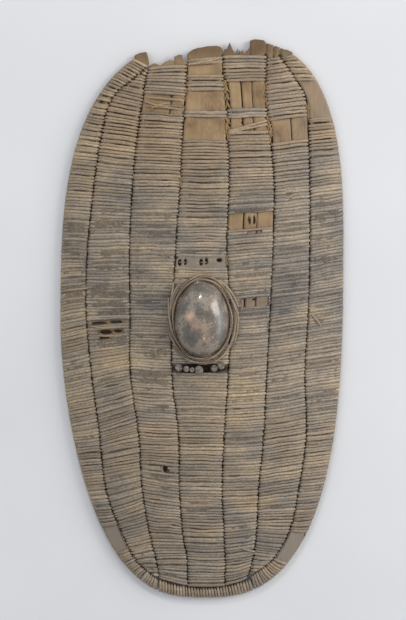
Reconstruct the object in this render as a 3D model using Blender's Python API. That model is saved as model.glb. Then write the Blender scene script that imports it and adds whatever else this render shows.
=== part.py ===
"""Oval shield of wooden slats bound with split cane, lying on its back.

+X points to the viewer's right, +Y to the top of the shield and +Z out of its front.
The rim lies in the plane z = 0, and the front is bowed up from it.
"""
import math

import bmesh
import bpy

MM = 0.001

# The outline is an egg, broadest above its middle, with a half for each side
TOP_Y = 557.5 * MM
BOTTOM_Y = -557.5 * MM
SPINE_X = 4.1 * MM
LEFT_EDGE = {
    "side": -1,
    "half_width": 287.7 * MM,
    "widest_y": -12.6 * MM,
    "power_above": 3.14,
    "power_below": 1.66,
    "round_above": 2.30,
    "round_below": 2.78,
}
RIGHT_EDGE = {
    "side": 1,
    "half_width": 279.4 * MM,
    "widest_y": 157.5 * MM,
    "power_above": 2.67,
    "power_below": 2.96,
    "round_above": 3.69,
    "round_below": 2.65,
}

# How far the middle of the back stands above the plane of the rim
BOW = 56 * MM

# Seams between the seven strips: where each crosses a row of heights
SEAM_HEIGHTS = [530, 490, 440, 370, 270, 150, 20, -110, -230, -340, -420, -480, -520]
SEAMS = {
    "seam_1": [-80, -122, -178, -199, -214, -226, -230, -219, -203, -191, -162, -132, -86],
    "seam_2": [-90, -109, -117, -127, -137, -143, -142, -141, -125, -118, -105, -91, -84],
    "seam_3": [-30, -30, -33, -38, -43, -51, -57, -59, -46, -44, -39, -29, -28],
    "seam_4": [41, 43, 49, 51, 54, 49, 55, 52, 44, 40, 44, 46, 46],
    "seam_5": [128, 128, 127, 135, 143, 141, 135, 128, 122, 112, 109, 101, 89],
    "seam_6": [151, 179, 207, 212, 214, 214, 211, 204, 207, 192, 175, 140, 85],
}
SEAM_GAP = 1.6 * MM

# The winding over the bottom rim has a hollow inner line
RIM_INNER_LOW = -536 * MM
RIM_INNER_RISE = 16 * MM
RIM_INNER_HALF = 86 * MM
RIM_INNER_MIDDLE = 5 * MM

# Board thickness, from the back: winding, slat, winding
WRAP = 3 * MM
SLAT = 9 * MM
CLEAR = 0.3 * MM
SEAM_DEPTH = WRAP + SLAT + 1.8 * MM
CROWN_DEPTH = WRAP + SLAT + WRAP + 1 * MM
RIDGE = 0.7 * MM
EDGE_DEPTH = 13 * MM
FRONT_DEPTH = CROWN_DEPTH + RIDGE
FOOT_WIDTH = 9 * MM
SHOULDERS = (0.28, 0.72)

# Crack between two slats of a strip, as a share of the way across it
SPLIT = 0.01

# Steps along a strip: the winding's ridges, and the slats inside it. They crowd a
# little towards both ends, where the sides turn most.
RIDGE_STEPS = 32
SLAT_STEPS = 18
CROWDING = 0.4
RIM_STEPS = 16

# How far a winding's hollow runs out of its two ends, as a share of its last step
OPEN_REACH = 0.15

# Boss and the cane hoops round it
BOSS_HALF_WIDTH = 54 * MM
BOSS_HALF_LENGTH = 74.6 * MM
BOSS_MIDDLE_Y = -0.5 * MM
BOSS_HEIGHT = 44 * MM
BOSS_EGG = 0.035
BOSS_SEAT = 0.8 * MM
BOSS_SIDES = 20
BRIM = 2.5 * MM
BRIM_BEVEL = 1 * MM
# The dome springs from just inside the brim: where its rings lie, and its two powers
DOME_RINGS = (0.93, 0.84, 0.7, 0.5, 0.26)
DOME_BREADTH = 2.3
DOME_FULLNESS = 0.62
HOOP_RADIUS = 2.8 * MM
HOOP_STEPS = 24
HOOP_SIDES = 5

# Sticks under the boss: place across, place along and radius of the end that shows
PEGS = [
    (-45.7, -96.0, 7.2),
    (-31.0, -98.5, 6.0),
    (-19.3, -100.0, 5.0),
    (-5.7, -100.5, 8.0),
    (24.0, -97.3, 6.8),
    (38.0, -92.0, 7.4),
]
PEG_HOLE = (9.3, -99.7)
PEG_HEAD = 7 * MM
PEG_BEVEL = 1 * MM
TANG_HALF = 2.3 * MM
TANG_PROUD = 4 * MM

# Handle on the back: a bow between two wide feet
GRIP_TOP_Y = 124 * MM
GRIP_BOTTOM_Y = -116 * MM
GRIP_FOOT = 28 * MM
GRIP_ARM = 30 * MM
GRIP_FOOT_HALF = 53 * MM
GRIP_BAR_HALF = 13 * MM
GRIP_FOOT_THICK = 9 * MM
GRIP_BAR_THICK = 15 * MM
GRIP_FLANK = 0.3
GRIP_STEPS = 12
FINGER_GAP = 31 * MM
STITCH_HOLES = {"left": (-43.9, -32.9), "right": (-1.9, 8.5)}
STITCH_Y = 111.3 * MM
STITCH_RADIUS = 1.3 * MM
STITCH_CORNER = 0.8 * MM


def mix(start, end, share):
    return start + (end - start) * share


def steps(count):
    return [i / count for i in range(count + 1)]


def upward(count):
    """Shares of the way down a strip, from its bottom to its top."""
    turns = [2 * math.pi * t for t in steps(count)]
    return [1 - (turn - CROWDING * math.sin(turn)) / (2 * math.pi) for turn in turns]


def smooth(share):
    share = min(max(share, 0), 1)
    return share * share * (3 - 2 * share)


def edge_x(edge, y):
    """Where one side of the outline stands at a height."""
    above = y > edge["widest_y"]
    end = TOP_Y if above else BOTTOM_Y
    share = min((y - edge["widest_y"]) / (end - edge["widest_y"]), 1)
    power = edge["power_above"] if above else edge["power_below"]
    bend = edge["round_above"] if above else edge["round_below"]
    return SPINE_X + edge["side"] * edge["half_width"] * (1 - share**power) ** (1 / bend)


def bottom_y(x):
    """Where the bottom of the outline stands under a place across."""
    edge = LEFT_EDGE if x < SPINE_X else RIGHT_EDGE
    out = abs(x - SPINE_X) / edge["half_width"]
    share = (1 - out ** edge["round_below"]) ** (1 / edge["power_below"])
    return mix(edge["widest_y"], BOTTOM_Y, share)


def rim_inner_y(x):
    out = (x - RIM_INNER_MIDDLE) / RIM_INNER_HALF
    return RIM_INNER_LOW + RIM_INNER_RISE * out * out


def seam_x(name, y):
    """A seam's place across at a height, on a smooth curve through its table."""
    heights = [h * MM for h in SEAM_HEIGHTS]
    places = [x * MM for x in SEAMS[name]]
    y = min(max(y, heights[-1]), heights[0])
    last = len(heights) - 1
    i = next(k for k in range(last) if y >= heights[k + 1])
    span = heights[i + 1] - heights[i]

    def slope(k):
        low, high = max(k - 1, 0), min(k + 1, last)
        return (places[high] - places[low]) / (heights[high] - heights[low])

    t = (y - heights[i]) / span
    even = mix(places[i], places[i + 1], smooth(t))
    return even + span * t * (1 - t) * (slope(i) * (1 - t) - slope(i + 1) * t)


def left_outline(y):
    return edge_x(LEFT_EDGE, y)


def right_outline(y):
    return edge_x(RIGHT_EDGE, y)


def seam(number):
    return lambda y: seam_x(f"seam_{number}", y)


# Each strip: its two sides, the heights of its top and bottom corners, the places
# across it where one slat ends and the next begins, and the crest of each slat
STRIPS = {
    "left_edge": {
        "sides": (left_outline, seam(1)),
        "top": (521, 505),
        "bottom": (-544, -519),
        "splits": [0, 1],
        "crests": {"slat": [(0, 524), (0.45, 531), (0.75, 533), (1, 514)]},
    },
    "outer_left": {
        "sides": (seam(1), seam(2)),
        "top": (485, 480),
        "bottom": (-501, -503),
        "splits": [0, 1],
        "crests": {"slat": [(0, 488), (1, 483)]},
    },
    "inner_left": {
        "sides": (seam(2), seam(3)),
        "top": (501, 505),
        "bottom": (-518, -532.5),
        "splits": [0, 0.68, 1],
        "crests": {
            "slat_wide": [(0, 504), (0.3, 508), (0.55, 506), (0.62, 513), (1, 515)],
            "slat_narrow": [(0, 524), (0.6, 525), (0.66, 512), (1, 510)],
        },
    },
    "centre": {
        "sides": (seam(3), seam(4)),
        "top": (516, 523),
        "bottom": (-532.5, -531.4),
        "splits": [0, 1],
        "crests": {
            "plank": [(0, 528), (0.2, 535), (0.45, 542), (0.7, 545), (0.9, 543), (1, 536)]
        },
    },
    "inner_right": {
        "sides": (seam(4), seam(5)),
        "top": (524, 524),
        "bottom": (-531, -517),
        "splits": [0, 0.34, 0.64, 1],
        "crests": {
            "slat_left": [(0, 528), (0.25, 532), (0.5, 547), (0.75, 533), (1, 538)],
            "slat_middle": [(0, 532), (0.4, 537), (0.75, 530), (1, 552)],
            "slat_right": [(0, 555), (0.3, 557.5), (0.8, 556), (1, 550)],
        },
    },
    "outer_right": {
        "sides": (seam(5), seam(6)),
        "top": (519, 524),
        "bottom": (-498, -498),
        "splits": [0, 0.54, 1],
        "crests": {
            "slat_left": [(0, 550), (1, 546)],
            "slat_right": [(0, 545), (1, 541)],
        },
    },
    "right_edge": {
        "sides": (seam(6), right_outline),
        "top": (523, 528),
        "bottom": (-511, -541),
        "splits": [0, 1],
        "crests": {"slat": [(0, 540), (0.5, 537), (1, 532)]},
    },
}

# Bare patches, where the winding has worn through: from height, to height, from share
# and to share of the way across the slats
PATCH_INSET = 1 * MM
PATCH_REACH = 10 * MM
BARE = {
    "left_edge": [(-416, -464, 0.1, 0.9)],
    "inner_left": [(448, 411, 0.0, 1.0)],
    "centre": [
        (507, 487, 0.0, 1.0),
        (450, 416, 0.0, 1.0),
        (398, 356, 0.0, 1.0),
        (123, 100, 0.0, 1.0),
        (-82, -113, 0.0, 1.0),
    ],
    "inner_right": [
        (471, 420, 0.0, 1.0),
        (398, 370, 0.0, 1.0),
        (210, 180, 0.0, 1.0),
        (44, 24, 0.3, 0.95),
    ],
    "outer_right": [(400, 352, 0.0, 1.0)],
    "right_edge": [(476, 402, 0.0, 1.0), (-424, -482, 0.1, 0.9)],
}


def rise(x, y):
    """How far the back of the board stands above the plane of the rim."""
    half = (TOP_Y - BOTTOM_Y) / 2
    middle = (TOP_Y + BOTTOM_Y) / 2
    along = 1 - min(abs((y - middle) / half), 1) ** 2
    edge = left_outline(y) if x < SPINE_X else right_outline(y)
    width = abs(edge - SPINE_X)
    out = min(abs(x - SPINE_X) / width, 1) if width > 0 else 1
    return BOW * along * (1 - out * out)


def front(x, y):
    """A height that clears the winding everywhere."""
    return rise(x, y) + FRONT_DEPTH


def corner(strip, side, share):
    """A point on one side of a strip, from its top at 0 to its bottom at 1."""
    y = mix(strip["top"][side], strip["bottom"][side], share) * MM
    return strip["sides"][side](y), y


def section(strip, share, inset):
    """The two ends of a cut across a strip, drawn in from its sides."""
    (x0, y0), (x1, y1) = corner(strip, 0, share), corner(strip, 1, share)
    width = math.hypot(x1 - x0, y1 - y0)
    cut = inset / width
    start = (mix(x0, x1, cut), mix(y0, y1, cut))
    end = (mix(x1, x0, cut), mix(y1, y0, cut))
    return start, end


def between(ends, share):
    (x0, y0), (x1, y1) = ends
    return mix(x0, x1, share), mix(y0, y1, share)


def lifted(place, depth):
    x, y = place
    return x, y, rise(x, y) + depth


def material(name, color, roughness):
    """A plain finish in linear colour."""
    made = bpy.data.materials.new(name)
    made.use_nodes = True
    shader = made.node_tree.nodes["Principled BSDF"]
    shader.inputs["Base Color"].default_value = (*color, 1)
    shader.inputs["Roughness"].default_value = roughness
    made.diffuse_color = (*color, 1)
    return made


def place_object(name, mesh, finish=None, smooth_angle=None):
    bmesh.ops.recalc_face_normals(mesh, faces=mesh.faces[:])
    data = bpy.data.meshes.new(name)
    mesh.to_mesh(data)
    mesh.free()
    if smooth_angle is not None:
        data.shade_smooth()
        data.set_sharp_from_angle(angle=math.radians(smooth_angle))
    if finish is not None:
        data.materials.append(finish)
    made = bpy.data.objects.new(name, data)
    bpy.context.scene.collection.objects.link(made)
    return made


def add_skin(mesh, rings, loop=False):
    """Skin over a row of rings. A ring of one point is a pole, and all diagonals agree."""
    loops = [[mesh.verts.new(point) for point in ring] for ring in rings]
    pairs = list(zip(loops, loops[1:]))
    if loop:
        pairs.append((loops[-1], loops[0]))
    for near, far in pairs:
        count = max(len(near), len(far))
        for i in range(count):
            j = (i + 1) % count
            if len(near) == 1:
                mesh.faces.new((near[0], far[j], far[i]))
            elif len(far) == 1:
                mesh.faces.new((near[i], near[j], far[0]))
            else:
                mesh.faces.new((near[i], near[j], far[j]))
                mesh.faces.new((near[i], far[j], far[i]))
    if not loop:
        for end in (loops[0], loops[-1]):
            if len(end) > 1:
                mesh.faces.new(end)
    return loops


def skin(name, rings, finish=None, loop=False, smooth_angle=None):
    mesh = bmesh.new()
    add_skin(mesh, rings, loop)
    return place_object(name, mesh, finish, smooth_angle)


def cut(body, cutter):
    """Takes the cutter's shape out of the body."""
    cutter.hide_render = True
    cutter.display_type = "WIRE"
    difference = body.modifiers.new(cutter.name, "BOOLEAN")
    difference.operation = "DIFFERENCE"
    difference.solver = "EXACT"
    difference.object = cutter


def slat_ring(ends, low, high, back, front_depth):
    """Four corners of a slat's cross section between two shares of the way across."""
    start, end = between(ends, low), between(ends, high)
    return [
        lifted(start, back),
        lifted(start, front_depth),
        lifted(end, front_depth),
        lifted(end, back),
    ]


def add_slat(name, strip, low, high, crest, finish):
    """A slat from the strip's bottom to a crest that stands out of the winding."""
    back, outer = WRAP, WRAP + SLAT
    first = low + (SPLIT / 2 if low > 0 else 0)
    last = high - (SPLIT / 2 if high < 1 else 0)
    inset = SEAM_GAP / 2 + WRAP + CLEAR
    rings = [
        slat_ring(section(strip, share, inset), first, last, back, outer)
        for share in upward(SLAT_STEPS)
    ]
    mesh = bmesh.new()
    top = add_skin(mesh, rings)[-1]
    cap = next(face for face in mesh.faces if set(face.verts) == set(top))
    mesh.faces.remove(cap)
    ends = section(strip, 0, inset)
    crest_back, crest_front = [], []
    for share, height in crest:
        x, y = between(ends, mix(first, last, share))
        crest_back.append(mesh.verts.new((x, height * MM, rise(x, y) + back)))
        crest_front.append(mesh.verts.new((x, height * MM, rise(x, y) + outer)))
    mesh.faces.new((top[1], top[2], *reversed(crest_front)))
    mesh.faces.new((top[3], top[0], *crest_back))
    mesh.faces.new((top[0], top[1], crest_front[0], crest_back[0]))
    mesh.faces.new((top[2], top[3], crest_back[-1], crest_front[-1]))
    for i in range(len(crest) - 1):
        mesh.faces.new((crest_back[i], crest_front[i], crest_front[i + 1], crest_back[i + 1]))
    return place_object(name, mesh, finish)


def hollow_ring(ends, splits):
    """The inside of a winding, which follows the slats with a little room."""
    low, high = WRAP - CLEAR, WRAP + SLAT + CLEAR
    places = [between(ends, share) for share in splits]
    return (
        [lifted(places[0], low)]
        + [lifted(place, high) for place in places]
        + [lifted(place, low) for place in reversed(places[1:])]
    )


def drawn_out(end, before):
    """The last ring of a hollow, moved on along its walls."""
    return [
        tuple(mix(b, e, 1 + OPEN_REACH) for b, e in zip(back, point))
        for back, point in zip(before, end)
    ]


def winding_ring(ends, depth_change, foot_side=None):
    """The outside of a winding: flat behind, crowned in front, thinner at its sides."""
    start, end = ends
    front_row = [
        lifted(start, SEAM_DEPTH + depth_change),
        *(lifted(between(ends, share), CROWN_DEPTH + depth_change) for share in SHOULDERS),
        lifted(end, SEAM_DEPTH + depth_change),
    ]
    behind = [lifted(end, 0), lifted(start, 0)]
    if foot_side is None:
        return behind[1:] + front_row + behind[:1]
    # An edge strip lies on the floor on a flat foot along the outline
    width = math.dist(start, end)
    share = FOOT_WIDTH / width
    foot = between(ends, share if foot_side == 0 else 1 - share)
    foot_row = [(*foot, 0), (*ends[foot_side], 0)]
    rim = (*ends[foot_side], EDGE_DEPTH + depth_change)
    if foot_side == 0:
        return [foot_row[1], rim, *front_row[1:], behind[0], foot_row[0]]
    return [behind[1], *front_row[:-1], rim, foot_row[1], foot_row[0]]


def bare_patch(mesh, strip, patch):
    """A block that opens the front of a winding down to the middle of its slats."""
    high_y, low_y, low, high = patch
    side = 0 if strip["sides"][0] is not left_outline else 1
    top, bottom = strip["top"][side], strip["bottom"][side]
    inset = SEAM_GAP / 2 + WRAP + PATCH_INSET
    rings = []
    for part in steps(2):
        share = (mix(high_y, low_y, part) - top) / (bottom - top)
        ends = section(strip, share, inset)
        rings.append(slat_ring(ends, low, high, WRAP + SLAT / 2, FRONT_DEPTH + PATCH_REACH))
    add_skin(mesh, rings)


def add_winding(name, strip, finish):
    """The cane wound round a strip, as a ridged tube that is worn open in places."""
    foot_side = None
    if strip["sides"][0] is left_outline:
        foot_side = 0
    elif strip["sides"][1] is right_outline:
        foot_side = 1
    rings = [
        winding_ring(
            section(strip, share, SEAM_GAP / 2), RIDGE * (-1) ** number, foot_side
        )
        for number, share in enumerate(upward(RIDGE_STEPS))
    ]
    tube = skin(f"{name}_binding", rings, finish)
    inset = SEAM_GAP / 2 + WRAP
    inner = [
        hollow_ring(section(strip, share, inset), strip["splits"])
        for share in upward(SLAT_STEPS)
    ]
    inner[0] = drawn_out(inner[0], inner[1])
    inner[-1] = drawn_out(inner[-1], inner[-2])
    cut(tube, skin(f"{name}_hollow", inner))
    if name in BARE:
        mesh = bmesh.new()
        for patch in BARE[name]:
            bare_patch(mesh, strip, patch)
        cut(tube, place_object(f"{name}_bare_patches", mesh))
    return tube


def add_bottom_rim(finish):
    """The winding over the bottom rim, which closes the ends of the inner strips."""
    first = STRIPS["left_edge"]["bottom"]
    last = STRIPS["right_edge"]["bottom"]
    outer_from = left_outline(first[0] * MM) + SEAM_GAP
    inner_from = seam_x("seam_1", first[1] * MM) + SEAM_GAP
    inner_to = seam_x("seam_6", last[0] * MM) - SEAM_GAP
    outer_to = right_outline(last[1] * MM) - SEAM_GAP
    rings = []
    for number, share in enumerate(steps(RIM_STEPS)):
        inner_x, outer_x = mix(inner_from, inner_to, share), mix(outer_from, outer_to, share)
        ends = ((inner_x, rim_inner_y(inner_x)), (outer_x, bottom_y(outer_x)))
        rings.append(winding_ring(ends, RIDGE * (-1) ** number, 1))
    return skin("bottom_rim_binding", rings, finish)


def oval(angle, half_width, half_length, egg, middle_y):
    """A point on an egg that is broader at its lower end."""
    x = half_width * math.cos(angle) * (1 - egg * math.sin(angle))
    return x, middle_y + half_length * math.sin(angle)


def boss_ring(scale, height):
    ring = []
    for i in range(BOSS_SIDES):
        x, y = oval(
            2 * math.pi * i / BOSS_SIDES,
            BOSS_HALF_WIDTH * scale,
            BOSS_HALF_LENGTH * scale,
            BOSS_EGG,
            BOSS_MIDDLE_Y,
        )
        ring.append((x, y, front(x, y) + BOSS_SEAT + height))
    return ring


def add_boss(finish):
    """A carved dome with a thin brim, hollowed under just enough to sit on the board."""
    seat = front(0, BOSS_MIDDLE_Y) + BOSS_SEAT
    rings = [[(0, BOSS_MIDDLE_Y, seat)], boss_ring(0.5, 0), boss_ring(1, 0)]
    rings.append(boss_ring(1, BRIM))
    rings.append(boss_ring(0.965, BRIM + BRIM_BEVEL))
    for scale in DOME_RINGS:
        dome = (1 - scale**DOME_BREADTH) ** DOME_FULLNESS
        rings.append(boss_ring(scale, mix(BRIM, BOSS_HEIGHT, dome)))
    rings.append([(0, BOSS_MIDDLE_Y, seat + BOSS_HEIGHT)])
    return skin("boss", rings, finish, smooth_angle=40)


def tube_rings(path, radius, sides, up):
    """Rings round a closed path, level with a direction that never lies along it."""
    rings = []
    count = len(path)
    for i, point in enumerate(path):
        ahead, behind = path[(i + 1) % count], path[i - 1]
        along = [a - b for a, b in zip(ahead, behind)]
        size = math.hypot(*along)
        along = [a / size for a in along]
        across = [
            along[1] * up[2] - along[2] * up[1],
            along[2] * up[0] - along[0] * up[2],
            along[0] * up[1] - along[1] * up[0],
        ]
        size = math.hypot(*across)
        across = [a / size for a in across]
        level = [
            across[1] * along[2] - across[2] * along[1],
            across[2] * along[0] - across[0] * along[2],
            across[0] * along[1] - across[1] * along[0],
        ]
        ring = []
        for k in range(sides):
            turn = 2 * math.pi * (k + 0.5) / sides
            ring.append(
                tuple(
                    point[n] + radius * (math.cos(turn) * across[n] + math.sin(turn) * level[n])
                    for n in range(3)
                )
            )
        rings.append(ring)
    return rings


def add_hoop(name, spread, middle_x, middle_y, wave, finish):
    """A cane hoop on the board, a set distance outside the boss."""
    path = []
    for i in range(HOOP_STEPS):
        angle = 2 * math.pi * i / HOOP_STEPS
        out = spread + wave * math.sin(6 * angle)
        x, y = oval(
            angle, BOSS_HALF_WIDTH + out, BOSS_HALF_LENGTH + out, BOSS_EGG, middle_y
        )
        x += middle_x
        path.append((x, y, front(x, y) + HOOP_RADIUS + BOSS_SEAT))
    rings = tube_rings(path, HOOP_RADIUS, HOOP_SIDES, (0, 0, 1))
    return skin(name, rings, finish, loop=True, smooth_angle=70)


def octagon(x, y, radius, z):
    turns = [math.pi * k / 4 for k in range(8)]
    return [(x + radius * math.cos(t), y + radius * math.sin(t), z) for t in turns]


def grip_back(y):
    """Just behind the back of the middle strip, which is flat from seam to seam."""
    sides = (seam_x("seam_3", y), seam_x("seam_4", y))
    return min(rise(x, y) for x in sides) - 1.6 * CLEAR


def grip_gap(y):
    """How far the handle stands off the board at a height."""
    from_end = min(GRIP_TOP_Y - y, y - GRIP_BOTTOM_Y) - GRIP_FOOT
    return FINGER_GAP * smooth(from_end / GRIP_ARM)


def add_grip(finish):
    """A carved handle that bows off the board between two wide, flat feet."""
    rings = []
    for share in steps(GRIP_STEPS):
        y = mix(GRIP_TOP_Y, GRIP_BOTTOM_Y, share)
        gap = grip_gap(y)
        bowed = gap / FINGER_GAP
        from_end = min(GRIP_TOP_Y - y, y - GRIP_BOTTOM_Y)
        narrow = smooth((from_end - 0.7 * GRIP_FOOT) / (0.8 * GRIP_FOOT))
        half = mix(GRIP_FOOT_HALF, GRIP_BAR_HALF, narrow)
        thick = mix(GRIP_FOOT_THICK, GRIP_BAR_THICK, bowed)
        high = grip_back(y) - gap
        low = high - thick
        flank = thick * GRIP_FLANK
        rings.append(
            [
                (-half + flank, y, low),
                (-half, y, low + flank),
                (-half, y, high - flank * bowed),
                (-half + flank * bowed, y, high),
                (half - flank * bowed, y, high),
                (half, y, high - flank * bowed),
                (half, y, low + flank),
                (half - flank, y, low),
            ]
        )
    return skin("grip", rings, finish, smooth_angle=35)


def square(x, y, half, z):
    """A square ring whose sides carry a point at their middles."""
    turns = [(1, 0), (1, 1), (0, 1), (-1, 1), (-1, 0), (-1, -1), (0, -1), (1, -1)]
    return [(x + half * across, y + half * along, z) for across, along in turns]


def add_peg(number, x, y, radius, finish):
    """A whittled stick: a round end in front, and a square tang through the board."""
    seat = rise(x, y) + WRAP + SLAT + 3 * CLEAR
    top = front(x, y) + PEG_HEAD
    low = grip_back(y) - GRIP_FOOT_THICK - TANG_PROUD
    rings = [
        square(x, y, TANG_HALF, low),
        square(x, y, TANG_HALF, seat),
        octagon(x, y, radius, seat),
        octagon(x, y, radius, top - PEG_BEVEL),
        octagon(x, y, radius - PEG_BEVEL, top),
    ]
    return skin(f"peg_{number}", rings, finish, smooth_angle=50)


def add_stitch(name, holes, finish):
    """A loop of cord through a pair of holes, round the board and the handle's foot."""
    x0, x1 = (x * MM for x in holes)
    top = rise((x0 + x1) / 2, STITCH_Y) + WRAP + SLAT + STITCH_RADIUS + CLEAR
    low = grip_back(STITCH_Y) - GRIP_FOOT_THICK - STITCH_RADIUS - CLEAR
    c = STITCH_CORNER
    corners = [
        (x0, top - c),
        (x0 + c, top),
        (x1 - c, top),
        (x1, top - c),
        (x1, low + c),
        (x1 - c, low),
        (x0 + c, low),
        (x0, low + c),
    ]
    path = [(x, STITCH_Y, z) for x, z in corners]
    rings = tube_rings(path, STITCH_RADIUS, 6, (0, 1, 0))
    return skin(name, rings, finish, loop=True, smooth_angle=70)


def hole_cutter():
    """Drills for the sticks, the empty stick hole and the stitches."""
    mesh = bmesh.new()
    high = BOW + 2 * FRONT_DEPTH
    for x, y in [*(peg[:2] for peg in PEGS), PEG_HOLE]:
        add_drill(mesh, x * MM, y * MM, TANG_HALF + CLEAR, high)
    for holes in STITCH_HOLES.values():
        for x in holes:
            add_drill(mesh, x * MM, STITCH_Y, STITCH_RADIUS + 2 * CLEAR, high)
    return place_object("holes", mesh)


def add_drill(mesh, x, y, half, high):
    corners = [(1, 1), (-1, 1), (-1, -1), (1, -1)]
    rings = [[(x + half * i, y + half * j, z) for i, j in corners] for z in (0, high)]
    add_skin(mesh, rings)


def build():
    for old in list(bpy.data.objects):
        bpy.data.objects.remove(old)
    bare_wood = material("weathered slat wood", (0.32, 0.22, 0.13), 0.75)
    cane = material("split cane winding", (0.23, 0.19, 0.14), 0.7)
    boss_wood = material("handled boss wood", (0.16, 0.12, 0.09), 0.4)
    stick = material("cut stick", (0.2, 0.17, 0.14), 0.7)

    windings = {}
    slats = {}
    for name, strip in STRIPS.items():
        windings[name] = add_winding(name, strip, cane)
        splits = zip(strip["splits"], strip["splits"][1:])
        for (low, high), (piece, crest) in zip(splits, strip["crests"].items()):
            slats[piece] = add_slat(f"{name}_{piece}", strip, low, high, crest, bare_wood)
    add_bottom_rim(cane)
    add_boss(boss_wood)
    add_hoop("boss_hoop_inner", 4.2 * MM, 0, BOSS_MIDDLE_Y, 0, cane)
    add_hoop("boss_hoop_outer", 11.6 * MM, 1 * MM, BOSS_MIDDLE_Y - 1 * MM, 0.5 * MM, cane)
    for number, (x, y, radius) in enumerate(PEGS, 1):
        add_peg(number, x * MM, y * MM, radius * MM, stick)
    grip = add_grip(boss_wood)
    for side, holes in STITCH_HOLES.items():
        add_stitch(f"grip_stitch_{side}", holes, cane)
    holes = hole_cutter()
    for body in (windings["centre"], slats["plank"], grip):
        cut(body, holes)


build()
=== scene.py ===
"""Looks of the cane-bound wooden shield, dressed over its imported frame.

+X points to the viewer's right, +Y to the top of the shield and +Z out of its front.
"""

import math

import bpy
import numpy as np
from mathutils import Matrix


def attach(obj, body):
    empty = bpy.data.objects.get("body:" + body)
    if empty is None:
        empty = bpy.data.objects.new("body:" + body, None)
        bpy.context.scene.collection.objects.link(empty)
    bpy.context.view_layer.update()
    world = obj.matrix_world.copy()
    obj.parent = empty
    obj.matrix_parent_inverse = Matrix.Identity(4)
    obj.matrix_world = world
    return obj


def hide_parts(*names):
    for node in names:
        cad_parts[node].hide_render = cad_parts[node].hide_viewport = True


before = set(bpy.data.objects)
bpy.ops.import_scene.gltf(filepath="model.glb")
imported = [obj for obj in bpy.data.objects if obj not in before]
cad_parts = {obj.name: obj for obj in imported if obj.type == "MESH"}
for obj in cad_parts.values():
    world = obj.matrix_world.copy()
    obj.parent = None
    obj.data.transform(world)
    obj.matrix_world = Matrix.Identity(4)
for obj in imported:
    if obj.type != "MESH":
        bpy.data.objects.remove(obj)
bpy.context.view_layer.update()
MM = 0.001

# The photograph: its frame, its scale in the plane of the rim, and its middle pixel
PHOTO_WIDTH, PHOTO_HEIGHT = 406, 620
PIXEL = 2.0 * MM
ZERO_PIXEL = (201.93, 318.75)
CAMERA_HEIGHT = 4.5
SENSOR = 36

# The outline is an egg, broadest above its middle, with a half for each side
TOP_Y = 557.5 * MM
BOTTOM_Y = -557.5 * MM
SPINE_X = 4.1 * MM
LEFT_EDGE = {
    "side": -1,
    "half_width": 287.7 * MM,
    "widest_y": -12.6 * MM,
    "power_above": 3.14,
    "power_below": 1.66,
    "round_above": 2.30,
    "round_below": 2.78,
}
RIGHT_EDGE = {
    "side": 1,
    "half_width": 279.4 * MM,
    "widest_y": 157.5 * MM,
    "power_above": 2.67,
    "power_below": 2.96,
    "round_above": 3.69,
    "round_below": 2.65,
}
BOW = 56 * MM

# Seams between the seven strips: where each crosses a row of heights
SEAM_HEIGHTS = [530, 490, 440, 370, 270, 150, 20, -110, -230, -340, -420, -480, -520]
SEAMS = {
    "seam_1": [-80, -122, -178, -199, -214, -226, -230, -219, -203, -191, -162, -132, -86],
    "seam_2": [-90, -109, -117, -127, -137, -143, -142, -141, -125, -118, -105, -91, -84],
    "seam_3": [-30, -30, -33, -38, -43, -51, -57, -59, -46, -44, -39, -29, -28],
    "seam_4": [41, 43, 49, 51, 54, 49, 55, 52, 44, 40, 44, 46, 46],
    "seam_5": [128, 128, 127, 135, 143, 141, 135, 128, 122, 112, 109, 101, 89],
    "seam_6": [151, 179, 207, 212, 214, 214, 211, 204, 207, 192, 175, 140, 85],
}
SEAM_GAP = 1.6 * MM

# The winding over the bottom rim has a hollow inner line
RIM_INNER_LOW = -536 * MM
RIM_INNER_RISE = 16 * MM
RIM_INNER_HALF = 86 * MM
RIM_INNER_MIDDLE = 5 * MM

# Board thickness, from the back: winding, slat, winding
WRAP = 3 * MM
SLAT = 9 * MM
FACE = WRAP + SLAT
CLEAR = 0.3 * MM
SPLIT = 0.01
CROWN_DEPTH = 16 * MM
SEAM_DEPTH = 12.8 * MM
FRONT_DEPTH = 16.7 * MM

# Split cane: width, thickness, and how far apart the turns lie, top and bottom
CANE_WIDTH = 6.3 * MM
CANE_THICK = 2.7 * MM
PITCH_TOP = 6.6 * MM
PITCH_BOTTOM = 5.8 * MM
PITCH_JITTER = 0.22
TURN_CORNER = 5.5 * MM

# Dust and crust fill the grooves: how far the packing lies under a strand's middle,
# clean and crusted, and how crusted the shield is at each height in millimetres
CLEAN_SINK = 1.2 * MM
CRUSTED_SINK = -0.85 * MM
CRUST_LEVELS = [
    (-540, 0.45), (-430, 0.55), (-330, 0.6), (-230, 0.6), (-120, 0.75), (60, 0.9),
    (170, 0.8), (260, 0.5), (360, 0.25), (540, 0.05),
]
CRUST_PATCH = 46 * MM
# Crust also fills the seams: how full they are where the rest is clean, how far the
# packing stays off a seam or lies under the outline, and how high the ends stand there
SEAM_FILL = 0.35
OUTLINE_FILL = 0.8
PACKING_OFF_SEAM = 0.3 * MM
PACKING_AT_OUTLINE = -0.4 * MM
CRUSTED_SEAM_DEPTH = 14.9 * MM
CRUSTED_CORNER = 0.6
BURIED_SHARE = 0.2
BURIED_SINK = 1.0 * MM
FRONT_STEPS, CORNER_STEPS, BACK_STEPS = 20, 6, 8

# Boss, its seat and the dome over it
BOSS_HALF_WIDTH = 54 * MM
BOSS_HALF_LENGTH = 74.6 * MM
BOSS_MIDDLE_Y = -0.5 * MM
BOSS_HEIGHT = 44 * MM
BOSS_EGG = 0.035
BOSS_SEAT = 0.8 * MM
BRIM = 2.5 * MM
DOME_BREADTH = 2.3
DOME_FULLNESS = 0.62

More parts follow.
